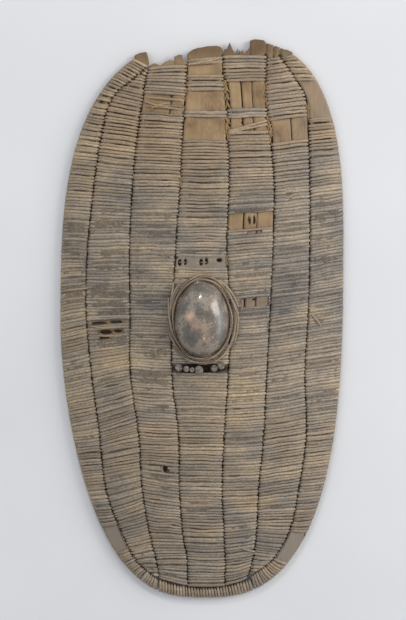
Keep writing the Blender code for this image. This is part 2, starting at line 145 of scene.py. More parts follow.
# Sticks under the boss: place across, place along and radius, in millimetres
PEGS = [
    (-45.7, -96.0, 7.2),
    (-31.0, -98.5, 6.0),
    (-19.3, -100.0, 5.0),
    (-5.7, -100.5, 8.0),
    (24.0, -97.3, 6.8),
    (38.0, -92.0, 7.4),
]
PEG_HOLE = (9.3, -99.7, 5.0)
PEG_HEAD = 7 * MM
TANG_RADIUS = 2.3 * MM
TANG_PROUD = 4 * MM

# Handle on the back, and the cord that holds its upper foot
GRIP_TOP_Y = 124 * MM
GRIP_BOTTOM_Y = -116 * MM
GRIP_FOOT = 28 * MM
GRIP_ARM = 30 * MM
GRIP_FOOT_HALF = 53 * MM
GRIP_BAR_HALF = 13 * MM
GRIP_FOOT_THICK = 9 * MM
GRIP_BAR_THICK = 15 * MM
FINGER_GAP = 31 * MM
STITCH_HOLES = {"left": (-43.9, -32.9), "right": (-1.9, 8.5)}
STITCH_Y = 111.3 * MM
STITCH_RADIUS = 1.3 * MM


def mix(start, end, share):
    return start + (end - start) * share


def smooth(share):
    share = np.clip(share, 0, 1)
    return share * share * (3 - 2 * share)


def noise(x, y, seed):
    """Smooth noise from -1 to 1 on a unit grid, the same each run."""
    xi, yi = np.floor(x), np.floor(y)
    fx, fy = smooth(x - xi), smooth(y - yi)

    def corner(i, j):
        wave = np.sin((xi + i) * 127.1 + (yi + j) * 311.7 + seed * 74.7) * 43758.5453
        return wave - np.floor(wave)

    low = mix(corner(0, 0), corner(1, 0), fx)
    high = mix(corner(0, 1), corner(1, 1), fx)
    return 2 * mix(low, high, fy) - 1


def edge_x(edge, y):
    """Where one side of the outline stands at a height."""
    y = np.asarray(y, float)
    above = y > edge["widest_y"]
    end = np.where(above, TOP_Y, BOTTOM_Y)
    share = np.clip((y - edge["widest_y"]) / (end - edge["widest_y"]), 0, 1)
    power = np.where(above, edge["power_above"], edge["power_below"])
    bend = np.where(above, edge["round_above"], edge["round_below"])
    return SPINE_X + edge["side"] * edge["half_width"] * (1 - share**power) ** (1 / bend)


def left_outline(y):
    return edge_x(LEFT_EDGE, y)


def right_outline(y):
    return edge_x(RIGHT_EDGE, y)


def bottom_y(x):
    """Where the bottom of the outline stands under a place across."""
    edge = LEFT_EDGE if x < SPINE_X else RIGHT_EDGE
    out = abs(x - SPINE_X) / edge["half_width"]
    share = (1 - out ** edge["round_below"]) ** (1 / edge["power_below"])
    return mix(edge["widest_y"], BOTTOM_Y, share)


def rim_inner_y(x):
    out = (x - RIM_INNER_MIDDLE) / RIM_INNER_HALF
    return RIM_INNER_LOW + RIM_INNER_RISE * out * out


def seam_x(name, y):
    """A seam's place across at a height, on a smooth curve through its table."""
    heights = np.array(SEAM_HEIGHTS[::-1]) * MM
    places = np.array(SEAMS[name][::-1]) * MM
    y = np.clip(y, heights[0], heights[-1])
    last = len(heights) - 1
    i = np.clip(np.searchsorted(heights, y, side="right") - 1, 0, last - 1)
    low, high = np.arange(last + 1) - 1, np.arange(last + 1) + 1
    low, high = np.clip(low, 0, last), np.clip(high, 0, last)
    slopes = (places[high] - places[low]) / (heights[high] - heights[low])
    span = heights[i + 1] - heights[i]
    t = (y - heights[i]) / span
    even = mix(places[i], places[i + 1], smooth(t))
    return even + span * t * (1 - t) * (slopes[i] * (1 - t) - slopes[i + 1] * t)


def seam(number):
    return lambda y: seam_x(f"seam_{number}", y)


def rise(x, y):
    """How far the back of the board stands above the plane of the rim."""
    half = (TOP_Y - BOTTOM_Y) / 2
    along = 1 - np.minimum(np.abs(y / half), 1) ** 2
    edge = np.where(x < SPINE_X, left_outline(y), right_outline(y))
    width = np.maximum(np.abs(edge - SPINE_X), 1 * MM)
    out = np.minimum(np.abs(x - SPINE_X) / width, 1)
    return BOW * along * (1 - out * out)


# Each strip: its two sides, the heights of its top and bottom corners, where one slat
# ends and the next begins, and the crest of each slat
STRIPS = {
    "left_edge": {
        "sides": (left_outline, seam(1)),
        "top": (521, 505),
        "bottom": (-544, -519),
        "splits": [0, 1],
        "crests": {"slat": [(0, 524), (0.45, 531), (0.75, 533), (1, 514)]},
    },
    "outer_left": {
        "sides": (seam(1), seam(2)),
        "top": (485, 480),
        "bottom": (-501, -503),
        "splits": [0, 1],
        "crests": {"slat": [(0, 488), (1, 483)]},
    },
    "inner_left": {
        "sides": (seam(2), seam(3)),
        "top": (501, 505),
        "bottom": (-518, -532.5),
        "splits": [0, 0.68, 1],
        "crests": {
            "slat_wide": [(0, 504), (0.3, 508), (0.55, 506), (0.62, 513), (1, 515)],
            "slat_narrow": [(0, 524), (0.6, 525), (0.66, 512), (1, 510)],
        },
    },
    "centre": {
        "sides": (seam(3), seam(4)),
        "top": (516, 523),
        "bottom": (-532.5, -531.4),
        "splits": [0, 1],
        "crests": {
            "plank": [(0, 528), (0.2, 535), (0.45, 542), (0.7, 545), (0.9, 543), (1, 536)]
        },
    },
    "inner_right": {
        "sides": (seam(4), seam(5)),
        "top": (524, 524),
        "bottom": (-531, -517),
        "splits": [0, 0.34, 0.64, 1],
        "crests": {
            "slat_left": [(0, 528), (0.25, 532), (0.5, 547), (0.75, 533), (1, 538)],
            "slat_middle": [(0, 532), (0.4, 537), (0.75, 530), (1, 552)],
            "slat_right": [(0, 555), (0.3, 557.5), (0.8, 556), (1, 550)],
        },
    },
    "outer_right": {
        "sides": (seam(5), seam(6)),
        "top": (519, 524),
        "bottom": (-498, -498),
        "splits": [0, 0.54, 1],
        "crests": {
            "slat_left": [(0, 550), (1, 546)],
            "slat_right": [(0, 545), (1, 541)],
        },
    },
    "right_edge": {
        "sides": (seam(6), right_outline),
        "top": (523, 528),
        "bottom": (-511, -541),
        "splits": [0, 1],
        "crests": {"slat": [(0, 540), (0.5, 537), (1, 532)]},
    },
}

# The lay of the turns: degrees down to the right, at heights in millimetres
LAY = {
    "left_edge": [(517, 35), (477, 26), (437, 13), (337, 7), (237, 4), (137, 2), (55, -7),
                  (-17, -13), (-205, -13), (-255, -6), (-385, -6), (-475, -22), (-530, -45)],
    "outer_left": [(483, 14), (447, 15), (383, 9), (257, 6), (157, -1), (13, -1), (-55, -8),
                   (-135, -15), (-205, -18), (-290, -10), (-375, -20), (-455, -14)],
    "inner_left": [(500, 6), (455, 4), (320, 3), (220, 0), (60, 1), (-190, 4), (-257, 1),
                   (-325, 9), (-395, 7), (-470, -2)],
    "centre": [(500, 0), (-400, 1)],
    "inner_right": [(520, -2), (300, -2), (200, -5), (0, -5), (-350, -2), (-520, -12)],
    "outer_right": [(520, -18), (480, -8), (200, -7), (-150, -9), (-340, -8), (-400, 0),
                    (-480, 12)],
    "right_edge": [(523, 10), (470, -2), (400, -6), (100, -12), (-200, -6), (-400, -4),
                   (-490, 25), (-525, 35)],
}
END_BLEND = 45 * MM

# Bare patches, where the winding has worn through: from height, to height, from share
# and to share of the way across the slats
BARE = {
    "left_edge": [(-416, -464, 0.1, 0.9)],
    "outer_left": [(-3, -12, 0.09, 0.87), (-21, -30, 0.25, 0.85), (-35, -42, 0.27, 0.54)],
    "inner_left": [(448, 411, 0.0, 1.0), (-290, -306, 0.56, 0.7)],
    "centre": [
        (507, 487, 0.0, 1.0),
        (450, 416, 0.0, 1.0),
        (398, 356, 0.0, 1.0),
        (121, 101, 0.0, 1.0),
        (-87, -107, 0.0, 1.0),
    ],
    "inner_right": [
        (471, 420, 0.0, 1.0),
        (398, 370, 0.0, 1.0),
        (210, 180, 0.0, 1.0),
        (175, 165, 0.45, 0.75),
        (44, 24, 0.3, 0.95),
    ],
    "outer_right": [(400, 352, 0.0, 1.0)],
    "right_edge": [(476, 402, 0.0, 1.0), (-424, -482, 0.1, 0.9)],
}

# Long slits where neighbouring turns have parted: middle across and along, half length
# and opening, in millimetres
SLITS = [
    (0, 157, 25, 1.6), (0, 137, 23, 1.2), (-76, 147, 17, 2.2), (-66, 58, 12, 1.6),
    (-80, 10, 13, 1.8), (-200, 157, 17, 1.6), (-208, 133, 10, 2.0), (-190, 102, 23, 2.6),
    (-168, 81, 16, 2.0), (-188, -8, 34, 3.2), (-182, -26, 28, 2.8), (-194, -40, 12, 3.0),
    (-180, -56, 32, 1.8), (-178, -133, 17, 3.0), (-156, -158, 17, 2.4), (-166, -190, 19, 2.4),
    (-146, -203, 16, 1.6), (-170, -260, 25, 2.8), (-98, -158, 30, 2.2), (-74, -62, 15, 1.8),
    (-82, -256, 15, 1.8), (-92, -292, 22, 2.0), (112, 228, 26, 2.0), (172, 248, 8, 4.0),
    (196, 204, 12, 1.6), (-52, -410, 10, 3.2), (6, -444, 26, 1.8), (132, -398, 26, 2.2),
    (70, -482, 8, 2.4), (2, -503, 18, 1.8), (222, 190, 26, 1.6), (-260, 86, 26, 1.6),
]

# Strands that still cross the bare patches: strip, height at the left and at the right
LONE_STRANDS = [
    ("centre", 507, 521), ("centre", 505, 515),
    ("inner_left", 441, 433), ("inner_left", 427, 421), ("inner_left", 424, 415),
    ("inner_right", 371, 394), ("inner_right", 369, 387),
]

# Single rods and split strands that lie loose on the winding: strip, girth, how far split,
# and the places they run through
LOOSE_RODS = [
    ("right_edge", 0.75, 0.0, [(218, 8), (229, -4), (238, -18)]),
    ("left_edge", 0.8, 0.1, [(-279, 55), (-254, 58), (-226, 61)]),
    ("outer_left", 0.7, 0.6, [(-150, -386), (-132, -379), (-116, -372)]),
    ("outer_left", 0.55, 0.7, [(-216, -15), (-195, -18), (-172, -16)]),
    ("outer_left", 0.5, 0.5, [(-206, -33), (-190, -34), (-166, -32)]),
    ("inner_right", 0.7, 0.1, [(72, -452), (90, -459), (106, -463)]),
    ("inner_left", 0.6, 0.6, [(-112, 432), (-90, 424), (-66, 422)]),
    ("inner_left", 0.5, 0.9, [(-100, 418), (-82, 425), (-62, 428)]),
    ("centre", 0.7, 0.0, [(-26, 506), (4, 511), (38, 520)]),
]

# Frayed fibre left in a seam: seam, from height to height, and how many fibres
FRAYED_SEAMS = [
    ("seam_4", 470, 420, 46), ("seam_4", 398, 357, 40), ("seam_5", 402, 352, 54),
    ("seam_5", 470, 424, 14), ("seam_6", 430, 400, 22), ("seam_3", 452, 408, 12),
    ("seam_4", 124, 110, 20), ("seam_3", 290, 262, 8),
]
FIBRE_GIRTH = 0.2

# Pits and holes in the bare slats, sunk and painted near-black as shade: place across and along, half
# width, half height and depth
PITS = {
    "outer_left_slat": [
        (-204, -9.5, 16, 4.0, 6), (-170, -6, 14, 3.4, 6), (-190, -26.5, 14, 4.4, 6),
        (-166, -24, 9, 3.2, 6), (-194, -38.5, 11, 3.4, 6),
    ],
    "inner_left_slat_wide": [(-73, -296, 4.5, 8, 7)],
    "inner_left_slat_narrow": [(-65, -298, 4.5, 10, 7)],
    "centre_plank": [
        (-43.9, 110.5, 3.8, 7.0, 8), (-32.9, 112.0, 3.0, 6.6, 8), (-1.9, 111.5, 3.8, 7.0, 8),
        (8.5, 113.5, 3.0, 7.0, 8), (34.0, 115.5, 6.5, 4.2, 6), (*PEG_HOLE[:2], 5.6, 5.6, 9),
        # A shallow band along the row of sticks, painted dark as the shade between them
        (-4, -97.5, 78, 13, 1.6),
    ],
    "inner_right_slat_left": [(80.0, 389.5, 2.4, 2.6, 6), (82.0, 376.5, 2.0, 2.2, 6)],
    "inner_right_slat_middle": [
        (102.0, 379.5, 1.8, 2.8, 6), (93.0, 195.0, 1.9, 11.0, 7), (103.5, 195.0, 2.0, 10.0, 7),
        (102.0, 38.5, 3.0, 1.4, 6),
    ],
}

# Bare bands that dust has covered: piece, from height to height, and how thickly
DUSTY_BANDS = [
    ("centre_plank", 140, 80, 1.0), ("centre_plank", -70, -125, 0.8),
    ("inner_right_slat", 54, 14, 0.45), ("inner_left_slat", -280, -316, 0.6),
]

# Where the slats stand back from an open seam, to the left and to the right of it
OPEN_SEAMS = [
    ("seam_4", 474, 416, 2.0, 5.0), ("seam_4", 402, 354, 2.0, 5.0), ("seam_5", 402, 352, 3.5, 3.0),
]

# Open cracks between neighbouring slats, in millimetres
CRACKS = {"inner_left": [2.2], "inner_right": [2.8, 1.4], "outer_right": [2.0]}
SLAT_STEP = 1.7 * MM
SLAT_FAR_STEP = 24 * MM
SLAT_COLUMN = 2.1 * MM
BARE_MARGIN = 7 * MM


def linear(code):
    """The linear colour of an sRGB hex value."""
    parts = [int(code[i : i + 2], 16) / 255 for i in (1, 3, 5)]
    return (*(p / 12.92 if p <= 0.04045 else ((p + 0.055) / 1.055) ** 2.4 for p in parts), 1)


def add(tree, kind, inputs=None, stops=None, **settings):
    """Adds a node with its settings, its values or links, and a ramp's stops."""
    node = tree.nodes.new(kind)
    for name, value in settings.items():
        setattr(node, name, value)
    for key, value in (inputs or {}).items():
        if isinstance(value, bpy.types.NodeSocket):
            tree.links.new(value, node.inputs[key])
        else:
            node.inputs[key].default_value = value
    for number, (place, code) in enumerate(stops or []):
        marks = node.color_ramp.elements
        mark = marks[number] if number < 2 else marks.new(place)
        mark.position = place
        mark.color = linear(code)
    return node


def start_material(name, **plain):
    """A material with one Principled shader, its plain values set on the shader."""
    made = bpy.data.materials.new(name)
    made.use_nodes = True
    shader = made.node_tree.nodes["Principled BSDF"]
    for socket, value in plain.items():
        shader.inputs[socket.replace("_", " ")].default_value = value
    return made, made.node_tree, shader


def grime(tree, place):
    """Handling dirt of many years: grey-blue to gold clouds, flattened across the strips.

    It is greyer to the right and at the bottom, and palest in a belt below the boss.
    """
    parts = add(tree, "ShaderNodeSeparateXYZ", {0: place})
    flattened = add(tree, "ShaderNodeMapping", {"Vector": place, "Scale": (0.55, 1.25, 1.0)})
    cloud = add(
        tree, "ShaderNodeTexNoise",
        {"Vector": flattened.outputs[0], "Scale": 15.0, "Detail": 6.0, "Roughness": 0.62},
    )
    right = add(
        tree, "ShaderNodeMapRange", {0: parts.outputs["X"], 1: -0.28, 2: 0.28, 3: 0.05, 4: -0.06}
    )
    warmth = add(
        tree, "ShaderNodeValToRGB",
        {0: add(tree, "ShaderNodeMapRange", {0: parts.outputs["Y"], 1: -0.56, 2: 0.56}).outputs[0]},
        stops=[(0.0, "#707070"), (1.0, "#909090"), (0.2, "#757575"), (0.38, "#989898"),
               (0.48, "#727272"), (0.68, "#6C6C6C"), (0.84, "#949494")],
    )
    warmth = add(tree, "ShaderNodeMath", {0: warmth.outputs[0], 1: 0.55}, operation="MULTIPLY")
    tone = add(tree, "ShaderNodeMath", {0: cloud.outputs["Fac"], 1: right.outputs[0]})
    tone = add(tree, "ShaderNodeMath", {0: tone.outputs[0], 1: warmth.outputs[0]})
    colour = add(
        tree, "ShaderNodeValToRGB", {0: tone.outputs[0]},
        stops=[(0.42, "#706A64"), (0.92, "#AC9876"), (0.55, "#80776B"), (0.66, "#908372"),
               (0.78, "#9E8D74")],
    )
    return colour.outputs[0]


def aged_split_cane():
    """Split rattan, wound by hand and grey-brown with age.

    Each strand has its own tint, fine fibres run along it, the crowns are rubbed pale and
    the flanks are darkened with painted shade. Where it is crusted, grime hides the cane's own colour.
    """
    made, tree, shader = start_material("aged split cane", Specular_IOR_Level=0.35)
    place = add(tree, "ShaderNodeTexCoord").outputs["Object"]
    turn = add(tree, "ShaderNodeAttribute", attribute_name="turn").outputs["Fac"]
    crown = add(tree, "ShaderNodeAttribute", attribute_name="crown").outputs["Fac"]
    frayed = add(tree, "ShaderNodeAttribute", attribute_name="frayed").outputs["Fac"]
    crusted = add(tree, "ShaderNodeAttribute", attribute_name="crust").outputs["Fac"]

    # The cane itself is tan, browner in clouds a hand wide
    cloud = add(tree, "ShaderNodeTexNoise", {"Vector": place, "Scale": 11.0, "Detail": 4.0})
    clean = add(
        tree, "ShaderNodeValToRGB", {0: cloud.outputs["Fac"]},
        stops=[(0.3, "#84705A"), (0.7, "#A28C70")],
    )
    hidden = add(tree, "ShaderNodeMapRange", {0: crusted, 1: 0.0, 2: 0.7, 3: 0.2, 4: 1.0})
    body = add(
        tree, "ShaderNodeMix", {0: hidden.outputs[0], 6: clean.outputs[0], 7: grime(tree, place)},
        data_type="RGBA",
    ).outputs[2]
    # Fibres one millimetre across and thirty long, a strand's own tint, and speckled crust
    grain = add(tree, "ShaderNodeMapping", {"Vector": place, "Scale": (1.0, 24.0, 24.0)})
    streak = add(
        tree, "ShaderNodeTexNoise", {"Vector": grain.outputs[0], "Scale": 34.0, "Detail": 5.0}
    )
    crust = add(tree, "ShaderNodeTexNoise", {"Vector": place, "Scale": 260.0, "Detail": 3.0})
    tint = add(
        tree, "ShaderNodeMapRange", {0: turn, 1: 0.0, 2: 1.0, 3: 0.84, 4: 1.22}
    ).outputs[0]
    fibre = add(
        tree, "ShaderNodeMapRange", {0: streak.outputs["Fac"], 1: 0.3, 2: 0.7, 3: 0.78, 4: 1.25}
    ).outputs[0]
    speck = add(
        tree, "ShaderNodeMapRange", {0: crust.outputs["Fac"], 1: 0.35, 2: 0.7, 3: 0.84, 4: 1.18}
    ).outputs[0]
    light = add(tree, "ShaderNodeMath", {0: tint, 1: fibre}, operation="MULTIPLY").outputs[0]
    light = add(tree, "ShaderNodeMath", {0: light, 1: speck}, operation="MULTIPLY").outputs[0]
    # Painted shade: away from its crown each strand darkens, less where it is crusted, and the crown is
    # rubbed pale
    groove_shade = add(tree, "ShaderNodeMapRange", {0: crusted, 1: 0.0, 2: 1.0, 3: 0.55, 4: 0.9})
    rub_and_groove_shade = add(
        tree, "ShaderNodeMapRange", {0: crown, 1: 0.1, 2: 1.0, 3: groove_shade.outputs[0], 4: 1.15}
    ).outputs[0]
    light = add(tree, "ShaderNodeMath", {0: light, 1: rub_and_groove_shade}, operation="MULTIPLY").outputs[0]
    shade = add(tree, "ShaderNodeCombineColor", {0: light, 1: light, 2: light})
    coloured = add(
        tree, "ShaderNodeMix", {0: 1.0, 6: body, 7: shade.outputs[0]},
        data_type="RGBA", blend_type="MULTIPLY",
    )
    # Split places show the red-brown inside of the cane
    split = add(tree, "ShaderNodeTexNoise", {"Vector": place, "Scale": 16.0, "Detail": 6.0})
    split = add(
        tree, "ShaderNodeMapRange", {0: split.outputs["Fac"], 1: 0.64, 2: 0.8, 3: 0.0, 4: 0.45}
    )
    reddish = add(
        tree, "ShaderNodeMix", {0: split.outputs[0], 6: coloured.outputs[2], 7: linear("#8A5E40")},
        data_type="RGBA",
    )
    golden = add(
        tree, "ShaderNodeMix", {0: frayed, 6: reddish.outputs[2], 7: linear("#A98A5C")},
        data_type="RGBA",
    )
    tree.links.new(golden.outputs[2], shader.inputs["Base Color"])
    rough = add(
        tree, "ShaderNodeMapRange", {0: crust.outputs["Fac"], 1: 0.3, 2: 0.7, 3: 0.5, 4: 0.78}
    )
    tree.links.new(rough.outputs[0], shader.inputs["Roughness"])
    relief = add(
        tree, "ShaderNodeMath", {0: streak.outputs["Fac"], 1: crust.outputs["Fac"]}, operation="ADD"
    )
    bump = add(
        tree, "ShaderNodeBump", {"Strength": 0.6, "Distance": 0.0007, "Height": relief.outputs[0]}
    )
    tree.links.new(bump.outputs[0], shader.inputs["Normal"])
    return made


def packed_dirt_and_gap_shade():
    """The core under the winding, dull and crumbly: where it lies deep, its dark colour is dirt and
    painted shade in the gaps between the strands.

    Where it has filled the grooves it is a crust, of the colour of the grime on the cane.
    """
    made, tree, shader = start_material("packed dirt and gap shade", Roughness=0.95, Specular_IOR_Level=0.2)
    place = add(tree, "ShaderNodeTexCoord").outputs["Object"]
    crust = add(tree, "ShaderNodeAttribute", attribute_name="crust").outputs["Fac"]
    crumb = add(tree, "ShaderNodeTexNoise", {"Vector": place, "Scale": 300.0, "Detail": 4.0})
    # Painted shade: the deep colour darkens the gaps and seams between the strands, over the dark dirt
    # there
    deep = add(
        tree, "ShaderNodeValToRGB", {0: crumb.outputs["Fac"]},
        stops=[(0.3, "#231C16"), (0.75, "#4A3E33")],
    )
    speckle = add(
        tree, "ShaderNodeValToRGB", {0: crumb.outputs["Fac"]},
        stops=[(0.3, "#B0B0B0"), (0.7, "#F4F4F4")],
    )
    dusty = add(
        tree, "ShaderNodeMix", {0: 1.0, 6: grime(tree, place), 7: speckle.outputs[0]},
        data_type="RGBA", blend_type="MULTIPLY",
    )
    filled = add(tree, "ShaderNodeMapRange", {0: crust, 1: 0.15, 2: 0.75})
    colour = add(
        tree, "ShaderNodeMix", {0: filled.outputs[0], 6: deep.outputs[0], 7: dusty.outputs[2]},
        data_type="RGBA",
    )
    tree.links.new(colour.outputs[2], shader.inputs["Base Color"])
    bump = add(
        tree, "ShaderNodeBump", {"Strength": 0.8, "Distance": 0.001, "Height": crumb.outputs["Fac"]}
    )
    tree.links.new(bump.outputs[0], shader.inputs["Normal"])
    return made


def weathered_slat_wood():
    """Split softwood slats: dry and brown, with open grain up and down, and pits and holes painted
    near-black as shade.
    """
    made, tree, shader = start_material("weathered slat wood", Specular_IOR_Level=0.3)
    place = add(tree, "ShaderNodeTexCoord").outputs["Object"]
    pit_shade = add(tree, "ShaderNodeAttribute", attribute_name="pit_shade").outputs["Fac"]
    grain = add(tree, "ShaderNodeMapping", {"Vector": place, "Scale": (40.0, 1.0, 40.0)})
    lines = add(
        tree, "ShaderNodeTexNoise", {"Vector": grain.outputs[0], "Scale": 18.0, "Detail": 6.0}
    )
    cloud = add(tree, "ShaderNodeTexNoise", {"Vector": place, "Scale": 24.0, "Detail": 4.0})
    tone = add(
        tree, "ShaderNodeMath", {0: cloud.outputs["Fac"], 1: 1.1, 2: -0.55}, operation="MULTIPLY_ADD"
    )
    tone = add(
        tree, "ShaderNodeMath", {0: lines.outputs["Fac"], 1: 0.6, 2: tone.outputs[0]},
        operation="MULTIPLY_ADD",
    )
    colour = add(
        tree, "ShaderNodeValToRGB", {0: tone.outputs[0]},
        stops=[(0.05, "#735D44"), (0.6, "#A68D6A"), (0.3, "#92795A")],
    )
    # Grime has darkened the crest and turned the slats grey at the right and the bottom
    parts = add(tree, "ShaderNodeSeparateXYZ", {0: place})
    crest = add(
        tree, "ShaderNodeMapRange", {0: parts.outputs["Y"], 1: 0.5, 2: 0.535, 3: 0.05, 4: 0.75}
    )
    darkened = add(
        tree, "ShaderNodeMix", {0: crest.outputs[0], 6: colour.outputs[0], 7: linear("#5E4A37")},
        data_type="RGBA",
    )
    right = add(
        tree, "ShaderNodeMapRange", {0: parts.outputs["X"], 1: 0.14, 2: 0.25, 3: 0.0, 4: 0.5}
    )
    low = add(
        tree, "ShaderNodeMapRange", {0: parts.outputs["Y"], 1: 0.1, 2: -0.4, 3: 0.0, 4: 0.85}
    )
    aged = add(
        tree, "ShaderNodeMath", {0: right.outputs[0], 1: low.outputs[0]}, operation="MAXIMUM"
    )
    dulled = add(
        tree, "ShaderNodeMix", {0: aged.outputs[0], 6: darkened.outputs[2], 7: linear("#857C72")},
        data_type="RGBA",
    )
    dusty = add(tree, "ShaderNodeAttribute", attribute_name="dusty").outputs["Fac"]
    covered = add(
        tree, "ShaderNodeMix", {0: dusty, 6: dulled.outputs[2], 7: grime(tree, place)},
        data_type="RGBA",
    )
    # Painted shade: the pits, the holes and the band by the sticks are painted near-black
    hollow = add(
        tree, "ShaderNodeMix", {0: pit_shade, 6: covered.outputs[2], 7: linear("#17110C")},
        data_type="RGBA",
    )
    tree.links.new(hollow.outputs[2], shader.inputs["Base Color"])
    rough = add(
        tree, "ShaderNodeMapRange", {0: lines.outputs["Fac"], 1: 0.3, 2: 0.7, 3: 0.62, 4: 0.85}
    )
    tree.links.new(rough.outputs[0], shader.inputs["Roughness"])
    bump = add(
        tree, "ShaderNodeBump", {"Strength": 0.5, "Distance": 0.0006, "Height": lines.outputs["Fac"]}
    )
    tree.links.new(bump.outputs[0], shader.inputs["Normal"])
    return made


def handled_hardwood():
    """Carved hardwood, oiled dark by hands, with a soft gloss, rubbed spots and a painted highlight."""
    made, tree, shader = start_material("handled hardwood", Coat_Weight=0.8, Coat_Roughness=0.14)
    place = add(tree, "ShaderNodeTexCoord").outputs["Object"]
    wear_and_glint = add(tree, "ShaderNodeAttribute", attribute_name="wear_and_glint").outputs["Fac"]
    grain = add(tree, "ShaderNodeMapping", {"Vector": place, "Scale": (5.0, 1.0, 5.0)})
    lines = add(
        tree, "ShaderNodeTexNoise", {"Vector": grain.outputs[0], "Scale": 30.0, "Detail": 5.0}
    )
    # Dark patches two centimetres wide, broken up by worn specks of three millimetres
    cloud = add(tree, "ShaderNodeTexNoise", {"Vector": place, "Scale": 42.0, "Detail": 3.0})
    speck = add(tree, "ShaderNodeTexNoise", {"Vector": place, "Scale": 240.0, "Detail": 3.0})
    tone = add(
        tree, "ShaderNodeMath", {0: speck.outputs["Fac"], 1: 0.55, 2: cloud.outputs["Fac"]},
        operation="MULTIPLY_ADD",
    )
    tone = add(
        tree, "ShaderNodeMath", {0: lines.outputs["Fac"], 1: 0.25, 2: tone.outputs[0]},
        operation="MULTIPLY_ADD",
    )
    colour = add(
        tree, "ShaderNodeValToRGB", {0: tone.outputs[0]},
        stops=[(0.66, "#544E47"), (1.16, "#8D8172"), (0.9, "#6B6359")],
    )
    # Rubbed spots go pale; one spot low on the boss is partly a painted highlight
    rubbed = add(
        tree, "ShaderNodeMix", {0: wear_and_glint, 6: colour.outputs[0], 7: linear("#D09C72")},
        data_type="RGBA",
    )
    tree.links.new(rubbed.outputs[2], shader.inputs["Base Color"])
    rough = add(
        tree, "ShaderNodeMapRange", {0: cloud.outputs["Fac"], 1: 0.3, 2: 0.7, 3: 0.34, 4: 0.5}
    )
    tree.links.new(rough.outputs[0], shader.inputs["Roughness"])
    bump = add(
        tree, "ShaderNodeBump", {"Strength": 0.2, "Distance": 0.0004, "Height": tone.outputs[0]}
    )
    tree.links.new(bump.outputs[0], shader.inputs["Normal"])
    return made


def cut_stick():
    """Peeled sticks cut across: grey outside, rings and fine rays on the sawn end."""
    made, tree, shader = start_material("cut stick", Roughness=0.75, Specular_IOR_Level=0.3)
    place = add(tree, "ShaderNodeTexCoord").outputs["Object"]
    pith = add(tree, "ShaderNodeAttribute", attribute_name="from_pith").outputs["Fac"]
    rings = add(tree, "ShaderNodeMath", {0: pith, 1: 5000.0}, operation="MULTIPLY")
    rings = add(tree, "ShaderNodeMath", {0: rings.outputs[0]}, operation="SINE")
    cloud = add(tree, "ShaderNodeTexNoise", {"Vector": place, "Scale": 160.0, "Detail": 4.0})
    tone = add(
        tree, "ShaderNodeMath", {0: rings.outputs[0], 1: 0.08, 2: cloud.outputs["Fac"]},
        operation="MULTIPLY_ADD",
    )
    colour = add(
        tree, "ShaderNodeValToRGB", {0: tone.outputs[0]},
        stops=[(0.3, "#4A423A"), (0.7, "#8F877D"), (0.5, "#6F675E")],
    )
    tree.links.new(colour.outputs[0], shader.inputs["Base Color"])
    bump = add(
        tree, "ShaderNodeBump", {"Strength": 0.5, "Distance": 0.0006, "Height": tone.outputs[0]}
    )
    tree.links.new(bump.outputs[0], shader.inputs["Normal"])
    return made


def studio_paper():
    """Matt background paper: pale grey, with a faint tooth."""
    made, tree, shader = start_material("studio paper", Roughness=0.9, Specular_IOR_Level=0.2)
    place = add(tree, "ShaderNodeTexCoord").outputs["Object"]
    tooth = add(tree, "ShaderNodeTexNoise", {"Vector": place, "Scale": 3.0, "Detail": 2.0})
    colour = add(
        tree, "ShaderNodeValToRGB", {0: tooth.outputs["Fac"]},
        stops=[(0.3, "#DADBDD"), (0.7, "#DFE0E2")],
    )
    tree.links.new(colour.outputs[0], shader.inputs["Base Color"])
    return made


CANE = aged_split_cane()
DIRT_AND_GAP_SHADE = packed_dirt_and_gap_shade()
SLAT_WOOD = weathered_slat_wood()
HARDWOOD = handled_hardwood()
STICK = cut_stick()


def link(name, mesh, *finishes):
    """Puts a mesh into the scene as an object at the origin."""
    for finish in finishes:
        mesh.materials.append(finish)
    made = bpy.data.objects.new(name, mesh)
    bpy.context.scene.collection.objects.link(made)
    return made


def add_piece(piece, slot, *nodes):
    """Rides a finished piece on the shield, in the place of its solids."""
    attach(piece, "root")
    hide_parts(*nodes)


def mesh_from(name, points, faces, attributes=None):
    """A smooth mesh, with a float attribute on its points under each name."""
    mesh = bpy.data.meshes.new(name)
    mesh.from_pydata(points, [], faces)
    for key, values in (attributes or {}).items():
        layer = mesh.attributes.new(key, "FLOAT", "POINT")
        layer.data.foreach_set("value", np.asarray(values, np.float32).ravel())
    mesh.shade_smooth()
    mesh.update()
    return mesh


class Paths:
    """Centre lines of strands, gathered for one sweep."""

    def __init__(self):
        self.points, self.ups, self.edges = [], [], []
        self.values = {"girth": [], "turn": [], "free": [], "frayed": [], "crust": []}
        self.count = 0

    def add(self, points, up, girth, turn, free, keep=None, closed=False, frayed=0.0, crust=0.0):
        """Rows of stations: those kept are joined to their neighbours along the row."""
        rows, stations = points.shape[:2]
        if keep is None:
            keep = np.ones((rows, stations), bool)
        number = np.full((rows, stations), -1)
        number[keep] = self.count + np.arange(keep.sum())
        ahead = np.roll(number, -1, axis=1)
        joined = (number >= 0) & (ahead >= 0)
        if not closed:
            joined[:, -1] = False
        self.edges.append(np.stack([number[joined], ahead[joined]], axis=1))
        self.points.append(points[keep])
        self.ups.append(np.broadcast_to(up, points.shape)[keep])
        for key, value in (
            ("girth", girth), ("turn", turn), ("free", free), ("frayed", frayed), ("crust", crust)
        ):
            self.values[key].append(np.broadcast_to(value, (rows, stations))[keep])
        self.count += int(keep.sum())

    def guide(self, name):
        mesh = bpy.data.meshes.new(name)
        mesh.from_pydata(np.concatenate(self.points), np.concatenate(self.edges).tolist(), [])
        layer = mesh.attributes.new("up_strip", "FLOAT_VECTOR", "POINT")
        layer.data.foreach_set("vector", np.concatenate(self.ups).astype(np.float32).ravel())
        for key, values in self.values.items():
            layer = mesh.attributes.new(key, "FLOAT", "POINT")
            layer.data.foreach_set("value", np.concatenate(values).astype(np.float32))
        return mesh


